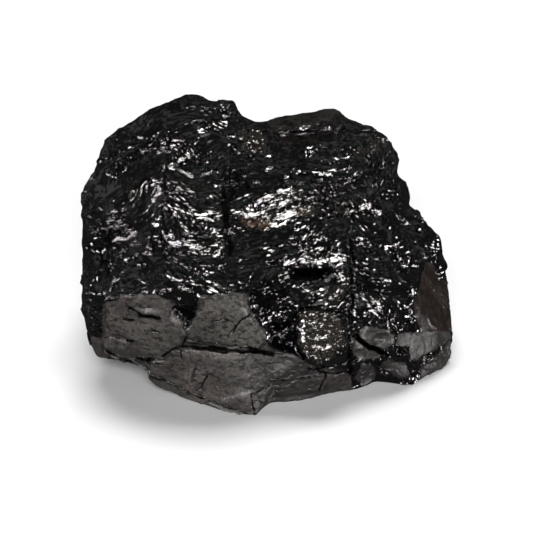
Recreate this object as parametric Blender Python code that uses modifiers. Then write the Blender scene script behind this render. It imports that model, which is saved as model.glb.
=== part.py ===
"""A shungite nugget: one lump of black, glassy stone that lies on a flat joint face.

Its front and its back are two sheets over one rim. Their corners stand where the stone's facets
meet, and a constrained Delaunay triangulation fills them. The fresh, glassy breaks are then carved
with ledges and shell-shaped chips, while the dull joint faces stay flat, and the foot is cut level.
"""

import math

import bmesh
import bpy
import numpy as np
from mathutils import Vector
from mathutils.geometry import delaunay_2d_cdt

MM = 0.001

# The broken face looks forward and up, at this angle above the horizon. Its frame has u to the
# right, v up along the face and w out of it, and all lengths below are in millimetres.
FACE_RISE = math.radians(35.0)
# The frame's origin is this far above the surface that the stone lies on.
ORIGIN_HEIGHT = 18.0

# The size of the carved mesh's cells, and the most triangles that the finished stone has.
CELL = 0.5
TRIANGLES = 9000

# The rim's corners as (u, v, w), clockwise from the left peak.
RIM = (
    (-12.3, 25.3, -9.0), (-9.6, 25.0, -10.5), (-9.0, 24.1, -8.0), (-6.6, 24.9, -10.0),
    (-4.9, 24.2, -11.0), (-3.9, 22.3, -9.5), (-2.2, 21.2, -8.5), (-0.8, 21.2, -10.5),
    (3.6, 22.4, -12.0), (10.8, 23.4, -13.0), (12.3, 22.0, -13.5), (16.4, 20.2, -13.0),
    (19.6, 17.6, -11.0), (20.5, 15.0, -8.5), (20.1, 12.8, -7.5), (21.7, 12.0, -10.0),
    (21.9, 8.0, -8.0), (23.8, 7.0, -9.0), (26.4, 2.7, -6.0), (27.8, -2.6, -9.5),
    (28.5, -11.0, -7.0), (28.2, -14.8, -8.5), (27.2, -16.8, -7.5), (23.7, -18.3, -5.5),
    (22.1, -19.5, -4.4), (16.5, -18.6, -4.5), (12.7, -19.9, -3.5), (6.6, -21.2, -1.8),
    (0.3, -21.7, -0.8), (-2.0, -23.8, 2.0), (-4.7, -23.4, 1.4), (-10.9, -21.7, -0.6),
    (-18.3, -18.7, -1.5), (-18.4, -17.4, -0.8), (-24.5, -15.3, -3.0), (-26.7, -13.2, -3.5),
    (-27.9, -7.9, -2.0), (-28.3, -0.3, -5.0), (-27.8, 5.4, -3.5), (-28.4, 9.2, -6.5),
    (-26.3, 13.4, -6.0), (-25.2, 18.4, -9.5), (-21.9, 20.4, -11.5), (-17.9, 23.1, -9.5),
)

# Behind the rim, the back sheet first turns over a blunt shoulder: this far in and this far back.
SHOULDER_IN, SHOULDER_BACK = 1.4, 2.6

# The front sheet's corners inside the rim, from the top down.
FRONT = (
    # the peak's shoulder, and the slab at the top with the slot under it
    (-21.0, 17.0, -6.0), (-16.0, 20.5, -6.5), (-10.0, 20.5, -5.5), (-6.0, 20.5, -5.5),
    (0.8, 19.4, -9.4), (6.0, 20.3, -9.4), (12.0, 20.6, -9.8),
    (1.5, 18.0, -10.2), (7.0, 18.7, -10.6), (12.4, 19.0, -10.4),
    (1.0, 16.9, -6.6), (8.0, 17.3, -6.8), (13.4, 17.6, -7.6),
    # the upper slope
    (-20.5, 14.0, -2.8), (-14.5, 15.0, -2.4), (-8.5, 15.5, -2.2), (-4.0, 14.0, -2.4),
    (2.0, 13.5, -3.0), (9.5, 13.5, -4.0), (15.5, 13.5, -5.2),
    # the flank left of the panel, the panel, and the foot of the upper joint beside it
    (-22.0, 8.0, 1.0), (-16.3, 11.4, 0.8), (-16.2, 6.0, 3.2), (-16.3, 1.4, 5.2),
    (-14.6, 12.7, 0.2), (-6.8, 12.5, 0.4), (-15.3, 11.2, 2.5), (-6.6, 10.9, 3.0),
    (-15.3, 5.0, 4.4), (-6.5, 5.0, 5.2), (-15.2, 1.8, 5.4), (-6.6, 1.8, 6.4),
    (-5.6, 11.0, -0.3), (-5.6, 7.0, 1.6), (-5.5, 3.0, 4.4), (-5.8, -1.0, 8.4),
    # the bright band in the middle, the steep step over it and the smooth slope under it
    (0.5, 12.2, -2.2), (7.0, 12.0, -2.8), (-3.4, 9.0, 0.4), (0.5, 10.8, 1.2), (6.8, 10.6, 0.7),
    (-3.0, 6.2, 3.0), (0.8, 5.0, 3.5), (5.6, 6.2, 2.7), (8.4, 7.6, 1.2),
    (0.5, 0.5, 6.4), (5.0, 2.0, 4.4),
    # the ledge and the hollow left of the lower joint
    (7.0, 2.6, 3.6), (12.0, 3.0, 2.6), (6.0, 0.4, 4.6), (12.0, 0.6, 4.2),
    (7.5, -0.9, 2.8), (11.6, -0.9, 2.6), (6.0, -3.0, 5.4), (11.8, -2.6, 4.6),
    (11.9, -7.2, 5.2), (5.0, -6.2, 5.2),
    # the lower joint's right side
    (13.2, 3.0, 1.2), (13.2, -2.6, 2.8), (13.0, -7.2, 3.4), (12.8, -13.4, 1.8),
    # the right shoulder
    (14.0, 8.0, -0.8), (18.5, 8.0, -3.4), (18.5, 2.0, -0.8), (17.0, -4.0, 2.6),
    (16.5, -8.5, 3.2), (22.0, -1.5, -2.6), (21.5, -5.0, -1.2), (20.5, -10.6, -0.6),
    (25.8, -10.9, -4.2), (17.8, -11.0, 1.6), (19.5, -15.0, -1.0), (25.0, -15.4, -4.6),
    (15.0, -15.5, -0.2), (18.0, -17.0, -2.6),
    # the knob beside the lower joint
    (5.0, -7.8, 6.0), (11.5, -8.0, 5.7), (5.2, -13.2, 6.0), (11.3, -13.4, 5.1),
    (3.8, -10.0, 4.6), (3.9, -13.6, 4.4),
    # the crest over the dull band
    (-24.6, -6.3, 5.6), (-22.0, -5.1, 8.0), (-16.0, -4.9, 10.2), (-10.0, -4.4, 10.9),
    (-3.5, -4.4, 10.8), (-3.1, -7.8, 8.5), (-0.8, -10.0, 7.2), (-0.6, -13.4, 4.9),
    (-1.8, -6.0, 8.0), (1.2, -4.4, 7.0), (1.2, -9.8, 5.2), (1.4, -13.2, 4.7),
    (-20.0, 1.5, 4.6), (-12.0, 1.0, 7.4),
    # the dull band's middle, and the foot's front with its short right side
    (-24.4, -13.4, 0.4), (-17.5, -13.4, 4.0), (-12.0, -13.5, 4.7), (-6.0, -13.6, 4.9),
    (5.0, -15.2, 4.2), (11.5, -15.2, 2.4), (-17.4, -17.0, 0.8), (-10.5, -20.4, 0.7),
    (-2.2, -22.6, 2.4), (-0.5, -20.6, 2.7), (1.0, -18.0, 3.5), (-6.0, -18.0, 3.3),
    (12.0, -18.6, -1.6), (6.0, -19.6, 0.2),
)

# The back sheet's corners, upright: x to the right, y to the back and z above the surface.
BACK = (
    # the foot's outline, just under the surface
    (-20.0, 8.0, -0.4), (-14.0, 18.0, -0.4), (2.0, 20.5, -0.4), (12.0, 18.0, -0.4),
    (21.0, 11.0, -0.4), (-6.0, 1.0, -0.4), (14.0, 2.0, -0.4),
    # the left flank and the back's left block
    (-25.5, 9.0, 9.5), (-21.0, 17.0, 7.0), (-23.5, 16.0, 16.5), (-19.0, 22.0, 15.0),
    (-18.0, 22.5, 24.0), (-12.0, 23.5, 11.0), (-9.0, 21.5, 14.5), (-11.0, 24.0, 21.0),
    # the back's middle, which stands out, and the peak's back
    (-4.0, 26.0, 15.0), (-3.0, 23.0, 8.0), (6.0, 24.0, 6.5), (8.0, 26.0, 14.0),
    (-3.0, 25.0, 23.5), (6.0, 24.5, 24.5), (-8.5, 22.0, 30.0),
    # the right flank
    (14.0, 20.5, 9.5), (14.5, 22.5, 18.0), (21.5, 15.5, 7.0), (20.5, 18.0, 16.5),
    (25.0, 11.5, 10.5),
)

# The dull joint faces on the front, as outlines in u and v.
BAND = (
    (-24.8, -6.6), (-22.0, -5.3), (-16.0, -5.1), (-10.0, -4.6), (-3.6, -4.6), (-3.2, -7.8),
    (-1.0, -10.0), (-0.8, -13.4), (4.8, -14.9), (9.0, -16.6), (12.5, -17.2), (13.5, -20.5),
    (-2.0, -25.0), (-20.0, -20.0), (-25.0, -15.0),
)
RIGHT_PANEL = (
    (20.6, -2.0), (24.6, -0.5), (28.5, -3.0), (28.5, -15.0), (25.0, -15.6), (20.5, -15.0),
    (18.0, -11.0),
)
# The slab at the top, whose edge shows thin beds and no chips.
SLAB = ((-1.0, 21.5), (0.5, 16.8), (13.5, 17.4), (13.0, 24.0), (3.0, 24.0))
# Two more dull joint faces behind the rim, as outlines in x and z.
BEHIND = (
    ((4.0, 4.5), (13.0, 3.5), (16.0, 9.0), (14.0, 15.5), (7.0, 14.5)),
    ((-25.5, 5.0), (-20.0, 3.5), (-18.5, 9.0), (-20.5, 16.0), (-25.0, 15.0)),
)

# Gouges in the dull band: the middle's u and v, the half-lengths, the turn and the depth.
GOUGES = (
    (-13.4, -7.8, 2.3, 1.0, 105.0, 1.1),
    (-17.6, -7.4, 2.5, 0.8, -8.0, 0.6),
    (-21.5, -12.0, 1.6, 0.6, -15.0, 0.5),
    (-5.6, -13.2, 5.0, 0.7, -7.0, 0.6),
    (-3.2, -10.6, 1.5, 0.7, 60.0, 0.6),
    (16.5, -12.6, 1.8, 0.8, 20.0, 0.6),
    (20.0, -15.8, 2.2, 0.8, -25.0, 0.7),
)

# Joint faces and gouges on the front reach back to this depth in w, and those behind the rim start
# at this y. Below FOOT_CALM nothing is carved.
FRONT_DEEP, GOUGE_DEEP = -12.5, -9.0
BEHIND_FROM = 10.0
FOOT_CALM = 1.0

# The glassy breaks: how large their chips and blocks are, and how high each stands.
CHIP_SIZE, CHIP_HEIGHT, CHIP_LEVEL = 3.6, 1.0, 0.42
BLOCK_SIZE, BLOCK_SLOPE = 5.2, 0.20
SPLINTER_SIZE, SPLINTER_SLOPE = 2.3, 0.26
LEDGE_PITCH, LEDGE_HEIGHT = 3.3, 0.7
# The ledges lean this much with w and with u, the other way behind the rim's depth.
LEDGE_LEAN, LEDGE_RISE, RIM_DEEP = 0.5, 0.18, -9.0
# All of it is drawn out along u and bent out of line by up to BEND, in waves of BEND_SIZE.
STRETCH = (0.62, 1.0, 0.8)
BEND, BEND_SIZE = 1.5, 7.0
# Along the rim the relief keeps this share of its height, and reaches all of it this far inside.
RIM_SHARE, RIM_FADE = 0.35, 3.0


def to_upright(u, v, w):
    """A point of the broken face's frame as upright x, y and z, in millimetres."""
    y = v * math.sin(FACE_RISE) - w * math.cos(FACE_RISE)
    z = v * math.cos(FACE_RISE) + w * math.sin(FACE_RISE) + ORIGIN_HEIGHT
    return (u, y, z)


def to_face(points):
    """Upright points, an array in millimetres, in the broken face's frame."""
    x, y, z = points[:, 0], points[:, 1], points[:, 2] - ORIGIN_HEIGHT
    v = y * math.sin(FACE_RISE) + z * math.cos(FACE_RISE)
    w = z * math.sin(FACE_RISE) - y * math.cos(FACE_RISE)
    return np.stack([x, v, w], axis=1)


def hashed(cells, seed):
    """A number from 0 to 1 for each whole-numbered cell, the same on every run."""
    grid = cells.astype(np.int64)
    mixed = grid[..., 0] * 374761393 + grid[..., 1] * 668265263 + grid[..., 2] * 2147483647
    mixed = (mixed + seed * 1274126177) & 0xFFFFFFFF
    mixed = ((mixed ^ (mixed >> 13)) * 1103515245 + 12345) & 0xFFFFFFFF
    mixed = ((mixed ^ (mixed >> 16)) * 2246822519) & 0xFFFFFFFF
    return ((mixed ^ (mixed >> 15)) & 0xFFFFFF) / float(0xFFFFFF)


def smooth_noise(points, size, seed):
    """Smooth noise from -1 to 1, whose bumps are about size across."""
    scaled = points / size
    low = np.floor(scaled)
    part = scaled - low
    ease = part * part * (3 - 2 * part)
    total = np.zeros(len(points))
    for corner in np.ndindex(2, 2, 2):
        share = np.prod(np.where(corner, ease, 1 - ease), axis=1)
        total += share * hashed(low + np.array(corner), seed)
    return 2 * total - 1


def shells(points, size, seed):
    """Shell-shaped chips: 0 at the middle of each bowl, and up to about 1 on the crests between."""
    scaled = points / size
    low = np.floor(scaled)
    nearest = np.full(len(points), 9.0)
    for step in np.ndindex(3, 3, 3):
        cell = low + np.array(step) - 1
        site = cell + np.stack([hashed(cell, seed + axis) for axis in range(3)], axis=1)
        depth = 0.35 * hashed(cell, seed + 3)
        nearest = np.minimum(nearest, np.sum((scaled - site) ** 2, axis=1) + depth)
    return nearest


def eased(value, low, high):
    """A smooth rise from 0 at low to 1 at high."""
    share = np.clip((value - low) / (high - low), 0.0, 1.0)
    return share * share * (3 - 2 * share)


def inside(outline, u, v):
    """How far each point is inside an outline, in millimetres, and below 0 outside it."""
    corners = np.array(outline)[:, :2]
    nearest = np.full(len(u), 1e9)
    crossings = np.zeros(len(u), int)
    for (u0, v0), (u1, v1) in zip(corners, np.roll(corners, -1, axis=0)):
        along = ((u - u0) * (u1 - u0) + (v - v0) * (v1 - v0)) / ((u1 - u0) ** 2 + (v1 - v0) ** 2)
        along = np.clip(along, 0.0, 1.0)
        gap = np.hypot(u - u0 - along * (u1 - u0), v - v0 - along * (v1 - v0))
        nearest = np.minimum(nearest, gap)
        spans = (v0 > v) != (v1 > v)
        with np.errstate(divide="ignore", invalid="ignore"):
            crossings += spans & (u < (u1 - u0) * (v - v0) / (v1 - v0) + u0)
    return np.where(crossings % 2 == 1, nearest, -nearest)


def facets(points, size, slope, seed):
    """Flat facets about size across, each tipped its own way, with steps where they meet."""
    scaled = points / size
    low = np.floor(scaled)
    nearest = np.full(len(points), 9.0)
    height = np.zeros(len(points))
    for step in np.ndindex(3, 3, 3):
        cell = low + np.array(step) - 1
        site = cell + np.stack([hashed(cell, seed + axis) for axis in range(3)], axis=1)
        apart = scaled - site
        gap = np.sum(apart**2, axis=1)
        tip = 2 * np.stack([hashed(cell, seed + 3 + axis) for axis in range(3)], axis=1) - 1
        nearer = gap < nearest
        height = np.where(nearer, slope * size * np.sum(apart * tip, axis=1), height)
        nearest = np.minimum(nearest, gap)
    return height


def calmness(face_points, upright):
    """1 on the dull joint faces and the slab, where nothing is chipped, and 0 on the breaks."""
    u, v, w = face_points.T
    x, y, z = upright.T
    front = np.maximum.reduce([inside(outline, u, v) for outline in (BAND, RIGHT_PANEL, SLAB)])
    behind = np.maximum.reduce([inside(outline, x, z) for outline in BEHIND])
    on_front = eased(front, -0.2, 0.5) * eased(w, FRONT_DEEP - 0.5, FRONT_DEEP + 0.5)
    on_back = eased(behind, -0.2, 0.8) * eased(y, BEHIND_FROM - 1, BEHIND_FROM + 1)
    on_foot = 1 - eased(z, FOOT_CALM - 0.5, FOOT_CALM + 0.5)
    return np.maximum.reduce([on_front, on_back, on_foot])


def gouged(face_points):
    """How deep the gouges cut at each point, in millimetres."""
    u, v, w = face_points.T
    depth = np.zeros(len(u))
    for u0, v0, half_long, half_wide, turn, deep in GOUGES:
        cosine, sine = math.cos(math.radians(turn)), math.sin(math.radians(turn))
        along = ((u - u0) * cosine + (v - v0) * sine) / half_long
        across = ((v - v0) * cosine - (u - u0) * sine) / half_wide
        depth = np.maximum(depth, deep * (1 - eased(np.hypot(along, across), 0.4, 1.0)))
    return depth * (w > GOUGE_DEEP)


def relief(upright):
    """How far the glassy breaks stand out or are carved in at each point, in millimetres."""
    face_points = to_face(upright)
    u, v, w = face_points.T
    bend = np.stack([smooth_noise(upright, BEND_SIZE, axis) for axis in (1, 2, 3)], axis=1)
    bent = face_points + BEND * bend
    wide = bent * np.array(STRETCH)
    chips = shells(wide, CHIP_SIZE, 11) - CHIP_LEVEL
    blocks = facets(wide, BLOCK_SIZE, BLOCK_SLOPE, 21)
    splinters = facets(wide, SPLINTER_SIZE, SPLINTER_SLOPE, 31)
    lean = LEDGE_LEAN * bent[:, 2] + LEDGE_RISE * bent[:, 0] * np.sign(w - RIM_DEEP)
    bed = (bent[:, 1] + lean) / LEDGE_PITCH + 0.3 * smooth_noise(upright, 9.0, 5)
    ledge = (bed - np.floor(bed) - 0.5) * eased(smooth_noise(upright, 6.0, 8), -0.4, 0.5)
    within = eased(inside(RIM, u, v), 0.0, RIM_FADE)
    strength = (RIM_SHARE + (1 - RIM_SHARE) * within) * (1 - calmness(face_points, upright))
    broken = CHIP_HEIGHT * chips + blocks + splinters + LEDGE_HEIGHT * ledge
    return strength * broken - gouged(face_points)


def sheet(corners, rim):
    """The triangles of one sheet: its corners and the rim, joined as seen along w."""
    points = [Vector(c[:2]) for c in (*rim, *corners)]
    edges = [(i, (i + 1) % len(rim)) for i in range(len(rim))]
    _, _, faces, origins, _, _ = delaunay_2d_cdt(points, edges, [], 1, 1e-6)
    return [[origins[i][0] for i in face] for face in faces]


def shoulder():
    """The corners of the blunt shoulder behind every second corner of the rim."""
    corners = []
    for u, v, w in RIM[::2]:
        reach = 1 - SHOULDER_IN / math.hypot(u, v)
        corners.append((u * reach, v * reach, w - SHOULDER_BACK))
    return corners


def back_corners():
    """The back sheet's corners in the face's frame, with none of its triangles all on the rim."""
    corners = [*shoulder(), *(tuple(c) for c in to_face(np.array(BACK)))]
    on_rim = [face for face in sheet(corners, RIM) if max(face) < len(RIM)]
    for face in on_rim:
        u, v, w = np.mean([RIM[i] for i in face], axis=0)
        corners.append((u, v, w - SHOULDER_BACK / 2))
    return corners


def blank():
    """The uncarved lump: the front and back sheets, joined along the rim."""
    back = back_corners()
    corners = (*RIM, *FRONT, *back)
    first_back = len(RIM) + len(FRONT)
    mesh = bmesh.new()
    verts = [mesh.verts.new(to_upright(*c)) for c in corners]
    for face in sheet(FRONT, RIM):
        mesh.faces.new([verts[i] for i in face])
    for face in sheet(back, RIM):
        ring = [verts[i if i < len(RIM) else first_back + i - len(RIM)] for i in face]
        mesh.faces.new(reversed(ring))
    bmesh.ops.recalc_face_normals(mesh, faces=mesh.faces)
    bmesh.ops.scale(mesh, vec=(MM, MM, MM), verts=mesh.verts)
    data = bpy.data.meshes.new("nugget")
    mesh.to_mesh(data)
    mesh.free()
    return data


def remeshed(obj, cell):
    """The object's mesh as even small cells."""
    fine = obj.modifiers.new("fine", "REMESH")
    fine.mode = "VOXEL"
    fine.voxel_size = cell * MM
    bpy.context.view_layer.update()
    evaluated = obj.evaluated_get(bpy.context.evaluated_depsgraph_get())
    made = bpy.data.meshes.new_from_object(evaluated)
    obj.modifiers.remove(fine)
    obj.data = made


def carve(data):
    """Moves the mesh's points in and out by the relief."""
    points = np.empty(len(data.vertices) * 3)
    normals = np.empty(len(data.vertices) * 3)
    data.vertices.foreach_get("co", points)
    data.vertices.foreach_get("normal", normals)
    points, normals = points.reshape(-1, 3) / MM, normals.reshape(-1, 3)
    points += normals * relief(points)[:, None]
    data.vertices.foreach_set("co", (points * MM).ravel())
    data.update()


def level_foot(data):
    """Cuts the mesh flat at the surface that it lies on."""
    mesh = bmesh.new()
    mesh.from_mesh(data)
    everything = [*mesh.verts, *mesh.edges, *mesh.faces]
    cut = bmesh.ops.bisect_plane(
        mesh, geom=everything, dist=1e-7, plane_co=(0, 0, 0), plane_no=(0, 0, 1), clear_inner=True
    )
    rim = [e for e in cut["geom_cut"] if isinstance(e, bmesh.types.BMEdge)]
    bmesh.ops.contextual_create(mesh, geom=rim)
    bmesh.ops.triangulate(mesh, faces=mesh.faces)
    mesh.to_mesh(data)
    mesh.free()


def centre(data):
    """Moves the mesh so that the origin is under the middle of its width and depth."""
    corners = [v.co for v in data.vertices]
    middle = [(max(c[axis] for c in corners) + min(c[axis] for c in corners)) / 2 for axis in (0, 1)]
    for corner in corners:
        corner.x -= middle[0]
        corner.y -= middle[1]


def stone_material():
    material = bpy.data.materials.new("shungite")
    material.use_nodes = True
    shader = material.node_tree.nodes["Principled BSDF"]
    shader.inputs["Base Color"].default_value = (0.012, 0.011, 0.011, 1.0)
    shader.inputs["Roughness"].default_value = 0.25
    shader.inputs["IOR"].default_value = 1.9
    return material


def build():
    for obj in list(bpy.data.objects):
        bpy.data.objects.remove(obj)
    home = bpy.data.collections.new("shungite_nugget")
    bpy.context.scene.collection.children.link(home)
    nugget = bpy.data.objects.new("nugget", blank())
    home.objects.link(nugget)
    remeshed(nugget, CELL)
    carve(nugget.data)
    thin = nugget.modifiers.new("thin", "DECIMATE")
    thin.ratio = TRIANGLES / (2 * len(nugget.data.polygons))
    bpy.context.view_layer.update()
    evaluated = nugget.evaluated_get(bpy.context.evaluated_depsgraph_get())
    made = bpy.data.meshes.new_from_object(evaluated)
    nugget.modifiers.remove(thin)
    nugget.data = made
    level_foot(nugget.data)
    centre(nugget.data)
    nugget.data.materials.clear()
    nugget.data.materials.append(stone_material())


build()
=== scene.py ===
"""The looks of a shungite nugget: glassy black breaks over a band of dull grey joint faces.

The stone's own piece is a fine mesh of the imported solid, on which the breaks get their facets, shells
and ribs, and the joint faces their cracks and flakes. Its materials are nodes that read where each
kind of surface is from the mesh.
"""

import math

import bmesh
import bpy
import numpy as np
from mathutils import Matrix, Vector

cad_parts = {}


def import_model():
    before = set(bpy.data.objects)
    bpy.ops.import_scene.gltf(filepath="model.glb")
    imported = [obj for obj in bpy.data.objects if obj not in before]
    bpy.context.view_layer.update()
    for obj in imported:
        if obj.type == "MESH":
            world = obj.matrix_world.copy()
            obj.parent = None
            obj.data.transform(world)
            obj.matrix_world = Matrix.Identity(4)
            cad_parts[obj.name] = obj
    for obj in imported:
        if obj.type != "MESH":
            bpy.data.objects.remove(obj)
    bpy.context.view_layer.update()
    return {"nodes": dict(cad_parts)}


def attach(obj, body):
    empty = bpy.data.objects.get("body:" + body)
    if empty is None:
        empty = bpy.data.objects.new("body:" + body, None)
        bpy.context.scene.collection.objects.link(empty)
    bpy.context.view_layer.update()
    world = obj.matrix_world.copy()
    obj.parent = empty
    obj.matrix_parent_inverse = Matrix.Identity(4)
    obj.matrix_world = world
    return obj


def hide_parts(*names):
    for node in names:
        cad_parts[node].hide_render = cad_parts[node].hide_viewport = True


MM = 0.001

# The broken face's frame, as the solid was built in: u to the right, v up along the face and w out of
# it, in millimetres. The face looks up at FACE_RISE from the horizontal.
FACE_RISE = math.radians(35.0)
FACE_ORIGIN = (-0.05, -6.10, 18.0)

# What lies above this w is the front, and the slab and the slot reach back to a lower one.
FRONT_W = -12.5
SLAB_W = -14.5
# The dull faces behind the rim lie beyond this y.
BEHIND_Y = 3.0

# The remeshing cells, and how many triangles the stone keeps.
COARSE_CELL = 0.4
CELL = 0.16
TRIANGLES = 192000
# Edges sharper than this stay crisp, in degrees.
CRISP_ANGLE = 28


def to_face(points):
    """Points of the row frame, in millimetres, as u, v and w."""
    x, y, z = (points - np.array(FACE_ORIGIN)).T
    v = y * math.sin(FACE_RISE) + z * math.cos(FACE_RISE)
    w = z * math.sin(FACE_RISE) - y * math.cos(FACE_RISE)
    return np.stack([x, v, w], axis=1)


def from_face(u, v, w):
    """A point of the broken face's frame as a vector in the row frame, in metres."""
    x, y, z = FACE_ORIGIN
    y += v * math.sin(FACE_RISE) - w * math.cos(FACE_RISE)
    z += v * math.cos(FACE_RISE) + w * math.sin(FACE_RISE)
    return Vector((x + u, y, z)) * MM


def direction(azimuth, elevation):
    """The way to a place seen at an azimuth from the front, to the right, and an elevation."""
    a, e = math.radians(azimuth), math.radians(elevation)
    return Vector((math.sin(a) * math.cos(e), -math.cos(a) * math.cos(e), math.sin(e)))


# The place that every light faces, in metres.
LIT_PLACE = Vector((0, 0, 0.015))
# The small lights that make the glints: azimuth and elevation, width and height in metres, radiance
# and colour, and how far away they are.
GLINT_LIGHTS = (
    ("front", 2, 38, 0.16, 0.12, 36.0, (1.0, 0.96, 0.93)),
    ("left", -48, 18, 0.12, 0.15, 36.0, (1.0, 0.93, 0.98)),
    ("right", 52, 6, 0.12, 0.15, 36.0, (1.0, 0.93, 0.96)),
)
GLINT_FAR = 0.8
# The small bright planes' size across the ribs, how far they are drawn out along them, and how far a
# plane may stand out or in.
PLANE_SIZE = 0.52
PLANE_STRETCH = 0.28
PLANE_REACH = 0.45
# Large dim cards that the smooth breaks mirror: azimuth, elevation, width and height in metres, and
# radiance.
CARDS = (
    ("card_left", -105, 28, 0.9, 0.6, 0.28),
    ("card_right", 108, 36, 0.9, 0.5, 0.25),
    ("card_back", 172, 62, 0.9, 0.5, 0.22),
    ("card_top", -10, 74, 0.5, 0.3, 0.20),
    # wider ones round the glint lights, for the facets that nearly catch those
    ("card_front", 2, 42, 0.80, 0.40, 0.9),
    ("card_front_left", -50, 20, 0.40, 0.40, 0.8),
    ("card_front_right", 56, 8, 0.35, 0.35, 0.8),
    # and a low one that mostly the back mirrors
    ("card_behind", 190, 4, 1.0, 0.20, 0.30),
)
CARD_FAR = 1.2
# Soft lights that only the dull surfaces see: azimuth and elevation, how far away they are, width and
# height, and radiance.
SOFT_LIGHTS = (
    ("soft_overhead", 180, 66, 1.6, 1.0, 0.55, 14.5),
    ("soft_front", 0, 40, 1.2, 0.8, 0.5, 7.0),
)


# ---------------------------------------------------------------------------------------------------
# Noise and outlines


def hashed(cells, seed):
    """A number from 0 to 1 for each whole-numbered cell, the same on every run."""
    grid = cells.astype(np.int64)
    mixed = grid[..., 0] * 374761393 + grid[..., 1] * 668265263 + grid[..., 2] * 2147483647
    mixed = (mixed + seed * 1274126177) & 0xFFFFFFFF
    mixed = ((mixed ^ (mixed >> 13)) * 1103515245 + 12345) & 0xFFFFFFFF
    mixed = ((mixed ^ (mixed >> 16)) * 2246822519) & 0xFFFFFFFF
    return ((mixed ^ (mixed >> 15)) & 0xFFFFFF) / float(0xFFFFFF)


def hashes(cells, seeds):
    """Such numbers side by side, a column for each seed."""
    return np.stack([hashed(cells, seed) for seed in seeds], axis=1)


def smooth_noise(points, size, seed):
    """Smooth noise from -1 to 1, whose bumps are about size across."""
    scaled = points / size
    low = np.floor(scaled)
    part = scaled - low
    ease = part * part * (3 - 2 * part)
    total = np.zeros(len(points))
    for corner in np.ndindex(2, 2, 2):
        share = np.prod(np.where(corner, ease, 1 - ease), axis=1)
        total += share * hashed(low + np.array(corner), seed)
    return 2 * total - 1


def noises(points, size, seeds):
    """Smooth noises side by side, a column for each seed."""
    return np.stack([smooth_noise(points, size, seed) for seed in seeds], axis=1)


def cells(points, size, seed):
    """For each point its nearest cell: the vector from the cell's site, in cells, and the cell."""
    scaled = points / size
    low = np.floor(scaled)
    nearest = np.full(len(points), 9.0)
    apart = np.zeros_like(points)
    home = np.zeros_like(points)
    for step in np.ndindex(3, 3, 3):
        cell = low + np.array(step) - 1
        offset = scaled - (cell + hashes(cell, range(seed, seed + 3)))
        gap = np.sum(offset**2, axis=1)
        nearer = gap < nearest
        apart = np.where(nearer[:, None], offset, apart)
        home = np.where(nearer[:, None], cell, home)
        nearest = np.minimum(nearest, gap)
    return apart, home


def eased(value, low, high):
    """A smooth rise from 0 at low to 1 at high."""
    share = np.clip((value - low) / (high - low), 0.0, 1.0)
    return share * share * (3 - 2 * share)


def laid(under, over, share):
    """A value with a share of another laid over it."""
    return under * (1 - share) + over * share


def segment_gap(u, v, start, end):
    """Each point's distance from a straight line between two points."""
    (u0, v0), (u1, v1) = start, end
    along = ((u - u0) * (u1 - u0) + (v - v0) * (v1 - v0)) / ((u1 - u0) ** 2 + (v1 - v0) ** 2)
    along = np.clip(along, 0.0, 1.0)
    return np.hypot(u - u0 - along * (u1 - u0), v - v0 - along * (v1 - v0))


def inside(outline, u, v):
    """How far each point is inside an outline, in millimetres, and below 0 outside it."""
    nearest = np.full(len(u), 1e9)
    crossings = np.zeros(len(u), int)
    for start, end in zip(outline, outline[1:] + outline[:1]):
        nearest = np.minimum(nearest, segment_gap(u, v, start, end))
        spans = (start[1] > v) != (end[1] > v)
        slope = (end[0] - start[0]) / (end[1] - start[1] if end[1] != start[1] else 1e-9)
        crossings += spans & (u < slope * (v - start[1]) + start[0])
    return np.where(crossings % 2 == 1, nearest, -nearest)


def line_gap(line, u, v):
    """How far each point is from a line of several points."""
    return np.minimum.reduce([segment_gap(u, v, start, end) for start, end in zip(line, line[1:])])


# ---------------------------------------------------------------------------------------------------
# What is where on the front, in u and v

# The stone's outline as seen along w.
RIM = (
    (-12.3, 25.3), (-9.6, 25.0), (-9.0, 24.1), (-6.6, 24.9), (-4.9, 24.2), (-3.9, 22.3), (-2.2, 21.2),
    (-0.8, 21.2), (3.6, 22.4), (10.8, 23.4), (12.3, 22.0), (16.4, 20.2), (19.6, 17.6), (20.5, 15.0),
    (20.1, 12.8), (21.7, 12.0), (21.9, 8.0), (23.8, 7.0), (26.4, 2.7), (27.8, -2.6), (28.5, -11.0),
    (28.2, -14.8), (27.2, -16.8), (23.7, -18.3), (22.1, -19.5), (16.5, -18.6), (12.7, -19.9),
    (6.6, -21.2), (0.3, -21.7), (-2.0, -23.8), (-4.7, -23.4), (-10.9, -21.7), (-18.3, -18.7),
    (-18.4, -17.4), (-24.5, -15.3), (-26.7, -13.2), (-27.9, -7.9), (-28.3, -0.3), (-27.8, 5.4),
    (-28.4, 9.2), (-26.3, 13.4), (-25.2, 18.4), (-21.9, 20.4), (-17.9, 23.1),
)

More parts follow.
